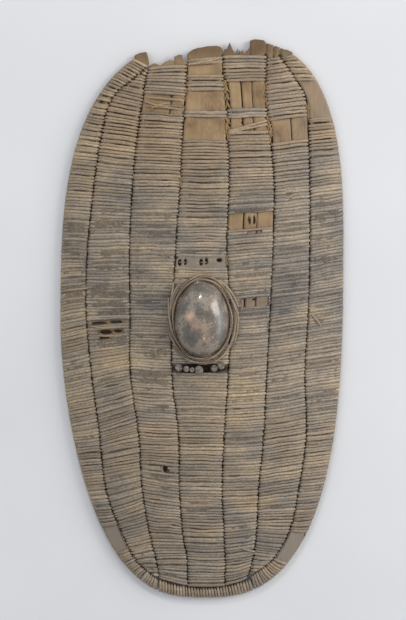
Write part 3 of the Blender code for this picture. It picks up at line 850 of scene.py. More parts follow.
def cane_tree():
    """Sweeps a split cane along each centre line and sets it on the packing under it."""
    tree = bpy.data.node_groups.new("Cane winding", "GeometryNodeTree")
    face = tree.interface
    face.new_socket("Geometry", in_out="OUTPUT", socket_type="NodeSocketGeometry")
    face.new_socket("Geometry", in_out="INPUT", socket_type="NodeSocketGeometry")
    for name, kind in (
        ("Cane width", "Float"), ("Cane thickness", "Float"), ("Inner fullness", "Float"),
        ("Wander", "Float"), ("Lift", "Float"), ("Sides", "Int"), ("Seed", "Int"),
        ("Cane", "Material"), ("Packing", "Object"), ("Packing finish", "Material"),
    ):
        face.new_socket(name, in_out="INPUT", socket_type=f"NodeSocket{kind}")
    given = add(tree, "NodeGroupInput").outputs
    attribute = "GeometryNodeInputNamedAttribute"
    turn = add(tree, attribute, {0: "turn"}, data_type="FLOAT").outputs[0]
    free = add(tree, attribute, {0: "free"}, data_type="FLOAT").outputs[0]
    girth = add(tree, attribute, {0: "girth"}, data_type="FLOAT").outputs[0]
    up = add(tree, attribute, {0: "up_strip"}, data_type="FLOAT_VECTOR").outputs[0]

    lines = add(tree, "GeometryNodeMeshToCurve", {0: given["Geometry"]})
    tangent = add(tree, "GeometryNodeInputTangent")
    outward = add(
        tree, "ShaderNodeVectorMath", {0: tangent.outputs[0], 1: up}, operation="CROSS_PRODUCT"
    )
    level = add(
        tree, "GeometryNodeSetCurveNormal",
        {"Curve": lines.outputs[0], "Normal": outward.outputs[0]}, mode="FREE",
    )
    # Each strand wanders up and down the strip, and lifts off the board, in its own way
    own = add(tree, "ShaderNodeMath", {0: turn, 1: 97.0, 2: given["Seed"]}, operation="MULTIPLY_ADD")
    wave = add(
        tree, "ShaderNodeTexNoise", {"W": own.outputs[0], "Scale": 28.0, "Detail": 2.0},
        noise_dimensions="4D",
    )
    parts = add(tree, "ShaderNodeSeparateXYZ", {0: wave.outputs["Color"]})
    aside = add(tree, "ShaderNodeMath", {0: parts.outputs[0], 1: 0.5}, operation="SUBTRACT")
    aside = add(
        tree, "ShaderNodeMath", {0: aside.outputs[0], 1: given["Wander"]}, operation="MULTIPLY"
    )
    aside = add(tree, "ShaderNodeVectorMath", {0: up, "Scale": aside.outputs[0]}, operation="SCALE")
    above = add(tree, "ShaderNodeMath", {0: parts.outputs[1], 1: 0.5}, operation="SUBTRACT")
    above = add(
        tree, "ShaderNodeMath", {0: above.outputs[0], 1: given["Lift"]}, operation="MULTIPLY"
    )
    above = add(tree, "ShaderNodeCombineXYZ", {2: above.outputs[0]})
    move = add(tree, "ShaderNodeVectorMath", {0: aside.outputs[0], 1: above.outputs[0]})
    move = add(
        tree, "ShaderNodeVectorMath", {0: move.outputs[0], "Scale": free}, operation="SCALE"
    )
    laid = add(
        tree, "GeometryNodeSetPosition", {"Geometry": level.outputs[0], "Offset": move.outputs[0]}
    )
    # The cane's section: round outside, and flat or round inside
    ring = add(
        tree, "GeometryNodeCurvePrimitiveCircle", {"Resolution": given["Sides"], "Radius": 1.0}
    )
    round_ = add(tree, "ShaderNodeSeparateXYZ", {0: add(tree, "GeometryNodeInputPosition").outputs[0]})
    outer = add(tree, "ShaderNodeMath", {0: round_.outputs[0], 1: 0.0}, operation="MAXIMUM")
    inner = add(tree, "ShaderNodeMath", {0: round_.outputs[0], 1: 0.0}, operation="MINIMUM")
    deep = add(
        tree, "ShaderNodeMath", {0: inner.outputs[0], 1: given["Inner fullness"], 2: outer.outputs[0]},
        operation="MULTIPLY_ADD",
    )
    half = add(tree, "ShaderNodeMath", {0: given["Cane thickness"], 1: 0.5}, operation="MULTIPLY")
    wide = add(tree, "ShaderNodeMath", {0: given["Cane width"], 1: 0.5}, operation="MULTIPLY")
    deep = add(tree, "ShaderNodeMath", {0: deep.outputs[0], 1: half.outputs[0]}, operation="MULTIPLY")
    wide = add(tree, "ShaderNodeMath", {0: round_.outputs[1], 1: wide.outputs[0]}, operation="MULTIPLY")
    shaped = add(tree, "ShaderNodeCombineXYZ", {0: deep.outputs[0], 1: wide.outputs[0]})
    crown = add(
        tree, "GeometryNodeStoreNamedAttribute",
        {"Geometry": ring.outputs[0], "Name": "crown", "Value": outer.outputs[0]},
        data_type="FLOAT", domain="POINT",
    )
    profile = add(
        tree, "GeometryNodeSetPosition", {"Geometry": crown.outputs[0], "Position": shaped.outputs[0]}
    )
    swept = add(
        tree, "GeometryNodeCurveToMesh",
        {"Curve": laid.outputs[0], "Profile Curve": profile.outputs[0], "Scale": girth,
         "Fill Caps": True},
    )
    smoothed = add(tree, "GeometryNodeSetShadeSmooth", {"Geometry": swept.outputs[0]})
    finished = add(
        tree, "GeometryNodeSetMaterial", {"Geometry": smoothed.outputs[0], "Material": given["Cane"]}
    )
    under = add(tree, "GeometryNodeObjectInfo", {"Object": given["Packing"]})
    under = add(
        tree, "GeometryNodeSetMaterial",
        {"Geometry": under.outputs["Geometry"], "Material": given["Packing finish"]},
    )
    both = add(tree, "GeometryNodeJoinGeometry", {0: under.outputs[0]})
    tree.links.new(finished.outputs[0], both.inputs[0])
    real = add(tree, "GeometryNodeRealizeInstances", {0: both.outputs[0]})
    add(tree, "NodeGroupOutput", {0: real.outputs[0]})
    return tree


CANE_TREE = cane_tree()


def sweep(name, paths, packing=None, **inputs):
    """Makes the swept canes a plain mesh, with their packing joined in."""
    guide = link(f"{name}_guide", paths.guide(name))
    winding = guide.modifiers.new("Cane winding", "NODES")
    winding.node_group = CANE_TREE
    values = {
        "Cane width": CANE_WIDTH, "Cane thickness": CANE_THICK, "Inner fullness": 0.35,
        "Wander": 0.9 * MM, "Lift": 0.8 * MM, "Sides": 7, "Seed": 1, "Cane": CANE,
        "Packing": packing, "Packing finish": DIRT_AND_GAP_SHADE,
    }
    values.update(inputs)
    for item in CANE_TREE.interface.items_tree:
        if item.in_out == "INPUT" and item.name in values and values[item.name] is not None:
            winding[item.identifier] = values[item.name]
    view = bpy.context.evaluated_depsgraph_get()
    mesh = bpy.data.meshes.new_from_object(guide.evaluated_get(view))
    mesh.name = name
    for spare in (guide, packing):
        if spare is not None:
            bpy.data.objects.remove(spare)
    return link(name, mesh)


def crust_level(y):
    """How crusted the winding is at a height, from 0 to 1."""
    heights = np.array([height for height, _ in CRUST_LEVELS]) * MM
    return np.interp(y, heights, [amount for _, amount in CRUST_LEVELS])


def crust_at(x, y):
    """How crusted a place is, in patches longer across than along."""
    level = crust_level(y)
    patch = noise(x / (1.8 * CRUST_PATCH), y / CRUST_PATCH, 31)
    patch = 0.6 * patch + 0.4 * noise(x / (0.5 * CRUST_PATCH), y / (0.22 * CRUST_PATCH), 32)
    return np.clip(level + 0.55 * patch, 0, 1)


def lay_slope(name, y):
    heights = np.array([height for height, _ in LAY[name]][::-1]) * MM
    angles = np.array([angle for _, angle in LAY[name]][::-1])
    return np.tan(np.radians(np.interp(y, heights, angles)))


def turn_ends(name, y):
    """Both ends of the turns whose middles lie at these heights."""
    strip = STRIPS[name]
    left_side, right_side = strip["sides"]
    top, bottom = np.array(strip["top"]) * MM, np.array(strip["bottom"]) * MM
    near_top = smooth((top.mean() - y) / END_BLEND)
    near_top = np.where(y > top.mean(), 0, near_top)
    near_bottom = smooth((y - bottom.mean()) / END_BLEND)
    slope = lay_slope(name, y)
    drop = np.zeros_like(y)
    for _ in range(14):
        width = right_side(y - drop / 2) - left_side(y + drop / 2)
        laid = mix(top[0] - top[1], slope * width, near_top)
        laid = mix(bottom[0] - bottom[1], laid, near_bottom)
        drop = mix(drop, laid, 0.5)
    left_y, right_y = y + drop / 2, y - drop / 2
    return (left_side(left_y), left_y), (right_side(right_y), right_y)


# Strips whose winding runs on into the corner above or below their solids
WOUND_TOPS = {"outer_left": 496}
WOUND_BOTTOMS = {"outer_left": -513, "outer_right": -508}


def turn_heights(name, rng):
    """Middle heights of a strip's turns, from its bottom to its top."""
    strip = STRIPS[name]
    highest = WOUND_TOPS.get(name, np.mean(strip["top"]))
    lowest = WOUND_BOTTOMS.get(name, np.mean(strip["bottom"]))
    y = np.linspace(lowest, highest, 2400) * MM
    (x0, y0), (x1, y1) = turn_ends(name, y)
    length = np.hypot(x1 - x0, y1 - y0)
    across, along = (x1 - x0) / length, (y1 - y0) / length
    step_x, step_y = np.diff((x0 + x1) / 2), np.diff((y0 + y1) / 2)
    advance = np.abs(step_y * across[:-1] - step_x * along[:-1])
    pitch = mix(PITCH_BOTTOM, PITCH_TOP, smooth(y / 0.4))
    number = np.concatenate([[0], np.cumsum(advance / pitch[:-1])])
    count = int(number[-1])
    place = np.arange(count) + 0.5 + rng.uniform(-PITCH_JITTER, PITCH_JITTER, count)
    return np.interp(place * number[-1] / count, number, y)


def turn_loops(ends, outline_side=None, sink=0.0, reach=None, sides=None, shut=0.0):
    """Closed loops round the board through both ends of each turn.

    Gives the points, the direction up the strip, the share of the way across and how free
    each station is to move. A sunk loop lies inside the strands, as their packing does.
    Round a corner the strands lie along the side of the strip, where the sides are given.
    Packing that is shut reaches across the seam.
    """
    (x0, y0), (x1, y1) = ends
    length = np.hypot(x1 - x0, y1 - y0)
    across, along = (x1 - x0) / length, (y1 - y0) / length
    level = crust_level((y0 + y1) / 2)
    inset = np.full((2, len(length)), SEAM_GAP / 2 + CANE_THICK / 2 + sink)
    top_side = mix(SEAM_DEPTH, CRUSTED_SEAM_DEPTH, level) - CANE_THICK / 2 - sink + 0 * inset
    if sink:
        inset = mix(inset, PACKING_OFF_SEAM, np.maximum(level, shut))
    if outline_side is not None:
        inset[outline_side] = SEAM_GAP / 2 + CANE_THICK / 2 + (PACKING_AT_OUTLINE if sink else 0)
        top_side[outline_side] = SEAM_DEPTH - CANE_THICK / 2 - sink
    reach = np.zeros((2, len(length))) if reach is None else reach
    low = -length / 2 + inset[0] - reach[0]
    high = length / 2 - inset[1] + reach[1]
    bend = np.minimum(TURN_CORNER * mix(1, CRUSTED_CORNER, level), 0.3 * length)
    crown = CROWN_DEPTH - CANE_THICK / 2 - sink
    crown = crown - 1.6 * MM * (1 - smooth(length / (70 * MM)))
    back = CANE_THICK / 2 + 0.4 * sink

    share = np.linspace(0, 1, FRONT_STEPS)
    turn = np.linspace(0, np.pi, CORNER_STEPS + 2)[1:-1]
    back_share = np.linspace(1, 0, BACK_STEPS)
    front_u = mix((low + bend)[:, None], (high - bend)[:, None], share)
    side_depth = mix(top_side[0][:, None], top_side[1][:, None], share)
    front_depth = crown[:, None] + (side_depth - crown[:, None]) * np.abs(2 * share - 1) ** 2.2
    right_u = (high - bend)[:, None] + bend[:, None] * np.sin(turn)
    left_u = (low + bend)[:, None] - bend[:, None] * np.sin(turn)
    rows = np.ones((len(length), 1))
    right_depth = mix(back, top_side[1][:, None], (1 + np.cos(turn)) / 2)
    left_depth = mix(back, top_side[0][:, None], (1 - np.cos(turn)) / 2)
    back_u = mix((low + bend)[:, None], (high - bend)[:, None], back_share)
    u = np.concatenate([front_u, right_u, back_u, left_u], axis=1)
    depth = np.concatenate([front_depth, right_depth, rows * back * np.ones(BACK_STEPS), left_depth], 1)
    x = ((x0 + x1) / 2)[:, None] + u * across[:, None]
    y = ((y0 + y1) / 2)[:, None] + u * along[:, None]
    points = np.stack([x, y, rise(x, y) + depth], axis=2)
    up = np.stack([-along, across, 0 * across], axis=1)[:, None, :] + np.zeros_like(points)
    for number, side in enumerate(sides or ()):
        low_y, high_y = ends[number][1] - MM, ends[number][1] + MM
        run = np.stack([side(high_y) - side(low_y), high_y - low_y, 0 * low_y], axis=1)
        run /= np.linalg.norm(run, axis=1)[:, None]
        near = np.clip(1 - np.abs(u - (low, high)[number][:, None]) / (2.2 * bend[:, None]), 0, 1)
        up = mix(up, run[:, None, :], smooth(1.4 * near)[:, :, None])
    up /= np.linalg.norm(up, axis=2)[:, :, None]
    free = np.concatenate(
        [0.25 + 0.75 * np.sin(np.pi * share) ** 0.5, np.zeros(u.shape[1] - FRONT_STEPS)]
    )
    return points, up, (u - low[:, None]) / (high - low)[:, None], free


FRONT = np.arange(FRONT_STEPS)
LOOP = FRONT_STEPS + BACK_STEPS + 2 * CORNER_STEPS
CORNER_TOP = CORNER_STEPS // 2
TAPERS = [0.82, 0.78, 0.8]
RIGHT_TOP = FRONT_STEPS + np.arange(CORNER_TOP)
LEFT_TOP = LOOP - 1 - np.arange(CORNER_TOP)
ON_TOP = np.zeros(LOOP, bool)
ON_TOP[np.concatenate([FRONT, RIGHT_TOP, LEFT_TOP])] = True


def worn_away(name, ends, share, rng=None):
    """Which stations of each turn have worn away."""
    (_, y0), (_, y1) = ends
    gone = np.zeros((len(y0), LOOP), bool)
    for high, low, first, last in BARE.get(name, []):
        middle = mix(y0, y1, (first + last) / 2)
        turns = (middle < high * MM) & (middle > low * MM)
        if first == 0 and last == 1:
            gone[turns] |= ON_TOP
            continue
        ragged = 0 if rng is None else rng.uniform(-0.03, 0.03, (2, len(y0), 1))
        start, end = (first, last) if rng is None else (first + ragged[0], last + ragged[1])
        inside = (share > start) & (share < end)
        front = np.arange(LOOP) < FRONT_STEPS
        gone |= turns[:, None] & inside & front
    return gone


def lay_unevenly(points, up, rng):
    """Lets the turns wave together, and lie a little higher or lower one by one."""
    front = slice(0, FRONT_STEPS)
    x, y = points[:, front, 0], points[:, front, 1]
    inside = np.sin(np.pi * np.linspace(0, 1, FRONT_STEPS)) ** 0.6
    wave = 1.3 * noise(x / (52 * MM), y / (34 * MM), 41)
    wave += 0.7 * noise(x / (21 * MM), y / (13 * MM), 42)
    points[:, front] += up[:, front] * (wave * inside * MM)[:, :, None]
    points[:, front, 2] += rng.uniform(-0.45, 0.45, (len(points), 1)) * inside * MM
    buried = rng.random((len(points), 1)) < BURIED_SHARE
    points[:, front, 2] -= buried * BURIED_SINK * crust_at(x, y) * inside
    return points


def part_turns(points, up, share, name, rng):
    """Pushes turns apart at the slits, which taper to both ends."""
    front = points[:, :FRONT_STEPS]
    left_side, right_side = STRIPS[name]["sides"]
    slits = [np.array(slit) * MM for slit in SLITS]
    slits = [s for s in slits if left_side(s[1]) < s[0] < right_side(s[1])]
    strip = STRIPS[name]
    for _ in range(14):
        y = rng.uniform(np.min(strip["bottom"]) + 30, np.max(strip["top"]) - 30) * MM
        x = mix(left_side(y), right_side(y), rng.uniform(0.15, 0.85))
        slits.append(np.array([x, y, rng.uniform(8, 24) * MM, rng.uniform(0.7, 2.0) * MM]))
    for x, y, half, opening in slits:
        beside = np.array([np.interp(x, row[:, 0], row[:, 1]) for row in front])
        first_above = np.searchsorted(beside, y)
        away = np.arange(len(beside)) - first_above + 0.5
        push = np.sign(away) * 0.55 ** (np.abs(away) - 0.5) * opening / 2
        taper = np.sqrt(np.clip(1 - ((front[:, :, 0] - x) / half) ** 2, 0, 1))
        front += up[:, :FRONT_STEPS] * (push[:, None] * taper)[:, :, None]
    return points


def strand_girth(points, up, outline_side, rng):
    """How wide each strand is: what its neighbours leave it, and its own growth.

    It narrows into a seam, but not round the outline, where the turns lie close.
    """
    step = np.diff(points, axis=0)
    spacing = np.abs((step * up[:-1]).sum(axis=2))
    spacing = np.concatenate([spacing[:1], (spacing[1:] + spacing[:-1]) / 2, spacing[-1:]])
    own = rng.uniform(0.84, 1.08, (len(points), 1))
    own = own + 0.09 * noise(points[:, :, 0] / (24 * MM), np.arange(len(points))[:, None], 17)
    corner = np.ones(LOOP)
    if outline_side != 1:
        corner[RIGHT_TOP] = TAPERS
        corner[FRONT[-2:]] = [0.96, 0.9]
    if outline_side != 0:
        corner[LEFT_TOP] = TAPERS
        corner[FRONT[:2]] = [0.9, 0.96]
    widest = np.full(LOOP, 1.3)
    if outline_side is not None:
        near = np.linspace(1, 0, 5) if outline_side == 0 else np.linspace(0, 1, 5)
        widest[FRONT[:5] if outline_side == 0 else FRONT[-5:]] += 0.6 * near
        widest[LEFT_TOP if outline_side == 0 else RIGHT_TOP] += 0.6
    return np.clip(spacing / CANE_WIDTH, 0.6, widest) * own * corner


def packing_under(name, ends, outline_side):
    """The closed core under the strands that shows between them: dust and fibre where crusted, dark dirt
    and painted shade where deep.
    """
    middle_y = (ends[0][1] + ends[1][1]) / 2
    shut = bareness(name, middle_y)
    points, _, share, _ = turn_loops(ends, outline_side, sink=CLEAN_SINK, shut=shut)
    x, y = points[:, :, 0], points[:, :, 1]
    crust = crust_at(x, y)
    lump = 0.4 * MM * noise(x / (7 * MM), y / (9 * MM), 33)
    on_front = np.zeros(LOOP)
    on_front[FRONT] = np.clip(4 * np.sin(np.pi * np.linspace(0, 1, FRONT_STEPS)), 0, 1)
    fill = crust * on_front
    left, right = np.append(FRONT[:3], LEFT_TOP[:2]), np.append(FRONT[-3:], RIGHT_TOP[:2])
    for side, stations in enumerate((left, right)):
        least = SEAM_FILL if side != outline_side else OUTLINE_FILL
        at_side = mix(least, 1, crust_level(middle_y))[:, None]
        fill[:, stations] = np.maximum(fill[:, stations], at_side)
    points[:, :, 2] += (CLEAN_SINK - CRUSTED_SINK) * fill + lump * on_front
    gone = worn_away(name, ends, share)
    floor = rise(x, y) + 8 * MM
    points[:, :, 2] = np.where(gone, np.minimum(points[:, :, 2], floor), points[:, :, 2])
    values = {"crust": np.where(gone, 0, fill)}
    return link(f"{name}_packing", tube_mesh(f"{name}_packing", points, values))


def tube_mesh(name, rings, attributes=None):
    """Skin over rows of rings, closed at both ends with a fan."""
    count, around = rings.shape[:2]
    number = np.arange(count * around).reshape(count, around)
    ahead = np.roll(number, -1, axis=1)
    faces = np.stack([number[:-1], number[1:], ahead[1:], ahead[:-1]], axis=-1).reshape(-1, 4)
    points = np.concatenate([rings.reshape(-1, 3), rings[[0, -1]].mean(axis=1)])
    faces = faces.tolist()
    for i in range(around):
        faces.append((ahead[0, i], count * around, number[0, i]))
        faces.append((number[-1, i], count * around + 1, ahead[-1, i]))
    if attributes:
        attributes = {
            key: np.concatenate([value.ravel(), value[[0, -1]].mean(axis=1)])
            for key, value in attributes.items()
        }
    mesh = mesh_from(name, points, faces, attributes)
    turn_outwards(mesh)
    return mesh


def turn_outwards(mesh):
    """Flips a closed mesh whose faces enclose a negative volume."""
    points = np.empty(len(mesh.vertices) * 3)
    mesh.vertices.foreach_get("co", points)
    points = points.reshape(-1, 3)
    mesh.calc_loop_triangles()
    corners = np.empty(len(mesh.loop_triangles) * 3, np.int32)
    mesh.loop_triangles.foreach_get("vertices", corners)
    a, b, c = points[corners.reshape(-1, 3)].transpose(1, 0, 2)
    if np.einsum("ij,ij->i", a, np.cross(b, c)).sum() < 0:
        mesh.flip_normals()


def flat_section(strip, share, inset):
    """Ends of straight cuts across a strip, from its top at 0 to its bottom at 1."""
    ends = []
    for side in (0, 1):
        y = mix(strip["top"][side], strip["bottom"][side], share) * MM
        ends.append((strip["sides"][side](y), y))
    (x0, y0), (x1, y1) = ends
    length = np.hypot(x1 - x0, y1 - y0)
    left, right = inset[0] / length, inset[1] / length
    return (mix(x0, x1, left), mix(y0, y1, left)), (mix(x1, x0, right), mix(y1, y0, right))


def set_back(name, y):
    """How far a strip's slats stand back from the open seams on their left and right."""
    back = np.zeros((2, len(y)))
    for seam_name, high, low, left_of, right_of in OPEN_SEAMS:
        edge = np.minimum(high * MM - y, y - low * MM)
        inside = smooth(edge / (4 * MM) + 0.5)
        left_side, right_side = STRIPS[name]["sides"]
        if right_side(0.0) == seam_x(seam_name, 0.0):
            back[1] += left_of * MM * inside
        if left_side(0.0) == seam_x(seam_name, 0.0):
            back[0] += right_of * MM * inside
    return back


def bareness(name, y):
    """One where a strip's slats lie bare over their whole width, and nothing elsewhere."""
    bare = np.zeros_like(y)
    for high, low, first, last in BARE.get(name, []):
        if last - first > 0.75:
            edge = np.minimum(high * MM - y, y - low * MM)
            bare = np.maximum(bare, smooth(edge / (3 * MM) + 0.5))
    return bare


def slat_rows(name, strip):
    """Shares of the way down a strip where its slats are cut: close together where bare."""
    top, bottom = np.mean(strip["top"]), np.mean(strip["bottom"])
    y, rows = bottom * MM, []
    zones = [(high * MM, low * MM) for high, low, *_ in BARE.get(name, [])]
    zones.append((top * MM + BARE_MARGIN, (top - 6) * MM))
    while y < top * MM:
        rows.append(y)
        near = any(low - BARE_MARGIN < y < high + BARE_MARGIN for high, low in zones)
        ahead = [low - BARE_MARGIN for _, low in zones if low - BARE_MARGIN > y]
        stride = SLAT_STEP if near else min([SLAT_FAR_STEP, *(a - y + 1e-6 for a in ahead)])
        y += stride
    rows.append(top * MM)
    return (top * MM - np.array(rows)) / ((top - bottom) * MM)


def crest_height(piece, crest, share):
    """The broken crest of a slat, with splinters where it is broken off short."""
    shares = [s for s, _ in crest]
    height = np.interp(share, shares, [h for _, h in crest])
    ragged = SPLINTERS.get(piece, 0.6)
    return height * MM + ragged * MM * noise(share * 9, 0 * share, len(piece))


# How far the outer sides of a strip spread where its slats stand out of the winding
CREST_SPREAD = 3.9 * MM

# How ragged each broken slat end is, in millimetres
SPLINTERS = {
    "inner_left_slat_wide": 3.0, "inner_left_slat_narrow": 2.5,
    "inner_right_slat_left": 8.0, "inner_right_slat_middle": 7.0,
    "centre_plank": 1.2, "outer_right_slat_right": 1.5,
}


def make_slat(name, strip, piece, low, high, crest, gaps):
    """A split board from the bottom of its strip to its broken crest."""
    rng = np.random.default_rng(len(piece) * 7)
    share_down = slat_rows(name, strip)
    middle_y = np.mean([mix(strip["top"][s], strip["bottom"][s], share_down) for s in (0, 1)], 0)
    bare = bareness(name, middle_y * MM)
    inset = SEAM_GAP / 2 + mix(WRAP + CLEAR, 1.2 * MM, bare) + set_back(name, middle_y * MM)
    (x0, y0), (x1, y1) = flat_section(strip, share_down, inset)
    width = np.hypot(x1 - x0, y1 - y0)
    first = low + gaps[0] / 2 * MM / width
    last = high - gaps[1] / 2 * MM / width
    columns = max(int(np.max((last - first) * width) / SLAT_COLUMN), 5)
    even = np.linspace(0, 1, columns + 1)
    across = (even - np.sin(2 * np.pi * even) / 16)[None, :]
    place = mix(first[:, None], last[:, None], across)
    x = mix(x0[:, None], x1[:, None], place)
    y = mix(y0[:, None], y1[:, None], place)
    crest_y = crest_height(piece, crest, np.linspace(0, 1, columns + 1))
    steps = max(int((crest_y.max() - y[-1].min()) / SLAT_STEP), 6)
    rise_share = np.linspace(0, 1, steps + 1)[1:, None]
    to_left = CREST_SPREAD if low == 0 else gaps[0] * MM / 2 - CLEAR
    to_right = CREST_SPREAD if high == 1 else gaps[1] * MM / 2 - CLEAR
    spread = across * to_right - (1 - across) * to_left
    x = np.concatenate([x, x[-1:] + spread * smooth(3 * rise_share)])
    y = np.concatenate([y, mix(y[-1:], crest_y[None, :], rise_share)])
    edge = np.minimum(across, 1 - across) * (last - first)[:, None] * width[:, None]
    edge = np.concatenate([edge, np.repeat(edge[-1:], steps, axis=0)])
    crest_edge = np.clip((crest_y[None, :] - y) / (3 * MM), 0, 1)
    rounding = 1.6 * MM * (1 - smooth(edge / (3 * MM))) + 1.4 * MM * (1 - crest_edge) ** 2
    grain = 0.22 * noise(x / (1.7 * MM), y / (70 * MM), 3)
    grain += 0.3 * noise(x / (9 * MM), y / (160 * MM), 5) + 0.15 * noise(x / (30 * MM), y / (22 * MM), 8)
    depth = FACE - rounding + grain * MM
    pit_shade, dusty = np.zeros_like(x), np.zeros_like(x)
    for owner, high, low, thick in DUSTY_BANDS:
        if piece.startswith(owner):
            within = smooth(np.minimum(high * MM - y, y - low * MM) / (8 * MM))
            dusty = np.maximum(dusty, thick * within)
            depth += 2.2 * MM * thick * within * (edge > 2 * MM)
    # The pits are sunk, and the pit mask paints them near-black as shade
    for pit_x, pit_y, half_x, half_y, deep in PITS.get(piece, []):
        out = np.hypot((x / MM - pit_x) / half_x, (y / MM - pit_y) / half_y)
        hole = 1 - smooth((out - 0.55) / 0.6)
        depth -= hole * deep * MM
        pit_shade = np.maximum(pit_shade, hole)
    front = np.stack([x, y, rise(x, y) + depth], axis=2)
    back = np.stack([x, y, rise(x, y) + WRAP + 0 * x], axis=2)[:, ::-1]
    rings = np.concatenate([front, back], axis=1)
    values = {
        key: np.concatenate([value, 0 * value], 1) for key, value in (("pit_shade", pit_shade), ("dusty", dusty))
    }
    return link(piece, slab_mesh(piece, rings, values), SLAT_WOOD)


def slab_mesh(name, rings, attributes):
    """Skin over rings of a front row and a back row, whose ends close straight across."""
    count, around = rings.shape[:2]
    half = around // 2
    number = np.arange(count * around).reshape(count, around)
    ahead = np.roll(number, -1, axis=1)
    faces = np.stack([number[:-1], number[1:], ahead[1:], ahead[:-1]], axis=-1).reshape(-1, 4)
    faces = faces.tolist()
    for row, order in ((number[0], 1), (number[-1], -1)):
        front, back = row[:half], row[half:][::-1]
        for i in range(half - 1):
            faces.append((front[i], front[i + 1], back[i + 1], back[i])[::order])
    values = {key: value.ravel() for key, value in attributes.items()}
    mesh = mesh_from(name, rings.reshape(-1, 3), faces, values)
    turn_outwards(mesh)
    mesh.set_sharp_from_angle(angle=math.radians(50))
    return mesh


def make_strip(name):
    """A strip's slats, and the cane wound round them."""
    strip = STRIPS[name]
    splits = list(zip(strip["splits"], strip["splits"][1:]))
    cracks = [0, *CRACKS.get(name, []), 0]
    for number, ((low, high), (end, crest)) in enumerate(zip(splits, strip["crests"].items())):
        piece = f"{name}_{end}"
        gaps = cracks[number], cracks[number + 1]
        slat = make_slat(name, strip, piece, low, high, crest, gaps)
        slat.name = f"{piece}_board"
        add_piece(slat, "slat_wood", piece)

    rng = np.random.default_rng(sum(map(ord, name)))
    outline_side = {"left_edge": 0, "right_edge": 1}.get(name)
    ends = turn_ends(name, turn_heights(name, rng))
    count = len(ends[0][0])
    reach = rng.uniform(0.2, 2.7, (2, count)) * MM
    if outline_side is not None:
        reach[outline_side] = rng.uniform(-0.1, 0.4, count) * MM
    points, up, share, free = turn_loops(ends, outline_side, reach=reach, sides=strip["sides"])
    girth = strand_girth(points, up, outline_side, rng)
    points = lay_unevenly(points, up, rng)
    points = part_turns(points, up, share, name, rng)
    crust = crust_at(points[:, :, 0], points[:, :, 1])
    gone = worn_away(name, ends, share, rng)
    paths = Paths()
    closed = ~gone.any(axis=1)
    turn = rng.uniform(0, 1, (count, 1))
    paths.add(
        points[closed], up[closed], girth[closed], turn[closed], free, closed=True,
        crust=crust[closed],
    )
    if gone.any():
        cut = ~closed
        # A worn turn starts behind the board, so its two ends are the broken ones
        order = np.roll(np.arange(LOOP), -(FRONT_STEPS + CORNER_STEPS))
        paths.add(
            points[cut][:, order], up[cut][:, order], girth[cut][:, order], turn[cut],
            free[order], keep=~gone[cut][:, order], crust=crust[cut][:, order],
        )
    add_lone_strands(paths, name, outline_side, rng)
    for owner, girth, split, route in LOOSE_RODS:
        if owner == name:
            add_rod(paths, route, girth, split, CROWN_DEPTH - CANE_THICK / 2, LOOSE_LIFT, rng)
    add_frayed_fibres(paths, name, rng)
    packing = packing_under(name, ends, outline_side)
    cane = sweep(f"{name}_cane", paths, packing, Seed=len(name))
    add_piece(cane, "cane", f"{name}_binding")


def add_lone_strands(paths, name, outline_side, rng):
    """Single strands that still cross the bare patches."""
    lone = [strand for strand in LONE_STRANDS if strand[0] == name]
    if not lone:
        return
    left_y = np.array([left for _, left, _ in lone]) * MM
    right_y = np.array([right for _, _, right in lone]) * MM
    left_side, right_side = STRIPS[name]["sides"]
    ends = (left_side(left_y), left_y), (right_side(right_y), right_y)
    points, up, share, free = turn_loops(ends, outline_side)
    order = np.roll(np.arange(LOOP), CORNER_STEPS)
    keep = np.broadcast_to(ON_TOP, (len(lone), LOOP))
    paths.add(
        points[:, order], up[:, order], rng.uniform(0.8, 0.95, (len(lone), 1)),
        rng.uniform(0, 1, (len(lone), 1)), free[order], keep=keep[:, order],
    )


def add_frayed_fibres(paths, name, rng):
    """Golden fibres that stand out of the open seams beside the bare patches."""
    _, right_side = STRIPS[name]["sides"]
    for seam_name, high, low, count in FRAYED_SEAMS:
        if right_side(0.0) != seam_x(seam_name, 0.0):
            continue
        y = rng.uniform(low, high, count) * MM
        x = seam_x(seam_name, y) + rng.uniform(-3.2, 3.2, count) * MM
        lean = rng.uniform(-0.9, 0.9, count)
        length = rng.uniform(6, 15, count) * MM
        along = np.linspace(-0.5, 0.5, 6)
        px = x[:, None] + np.outer(np.sin(lean) * length, along)
        py = y[:, None] + np.outer(np.cos(lean) * length, along)
        arch = (1 - (2 * along) ** 2) * 2.5 * MM
        depth = rng.uniform(8, 11.5, (count, 1)) * MM + arch
        points = np.stack([px, py, rise(px, py) + depth], axis=2)
        up = np.stack([np.cos(lean), -np.sin(lean), 0 * lean], axis=1)[:, None, :]
        paths.add(
            points, up, FIBRE_GIRTH * rng.uniform(0.7, 1.5, (count, 1)),
            rng.uniform(0, 1, (count, 1)), 1.0, frayed=rng.uniform(0.3, 0.9, (count, 1)),
        )


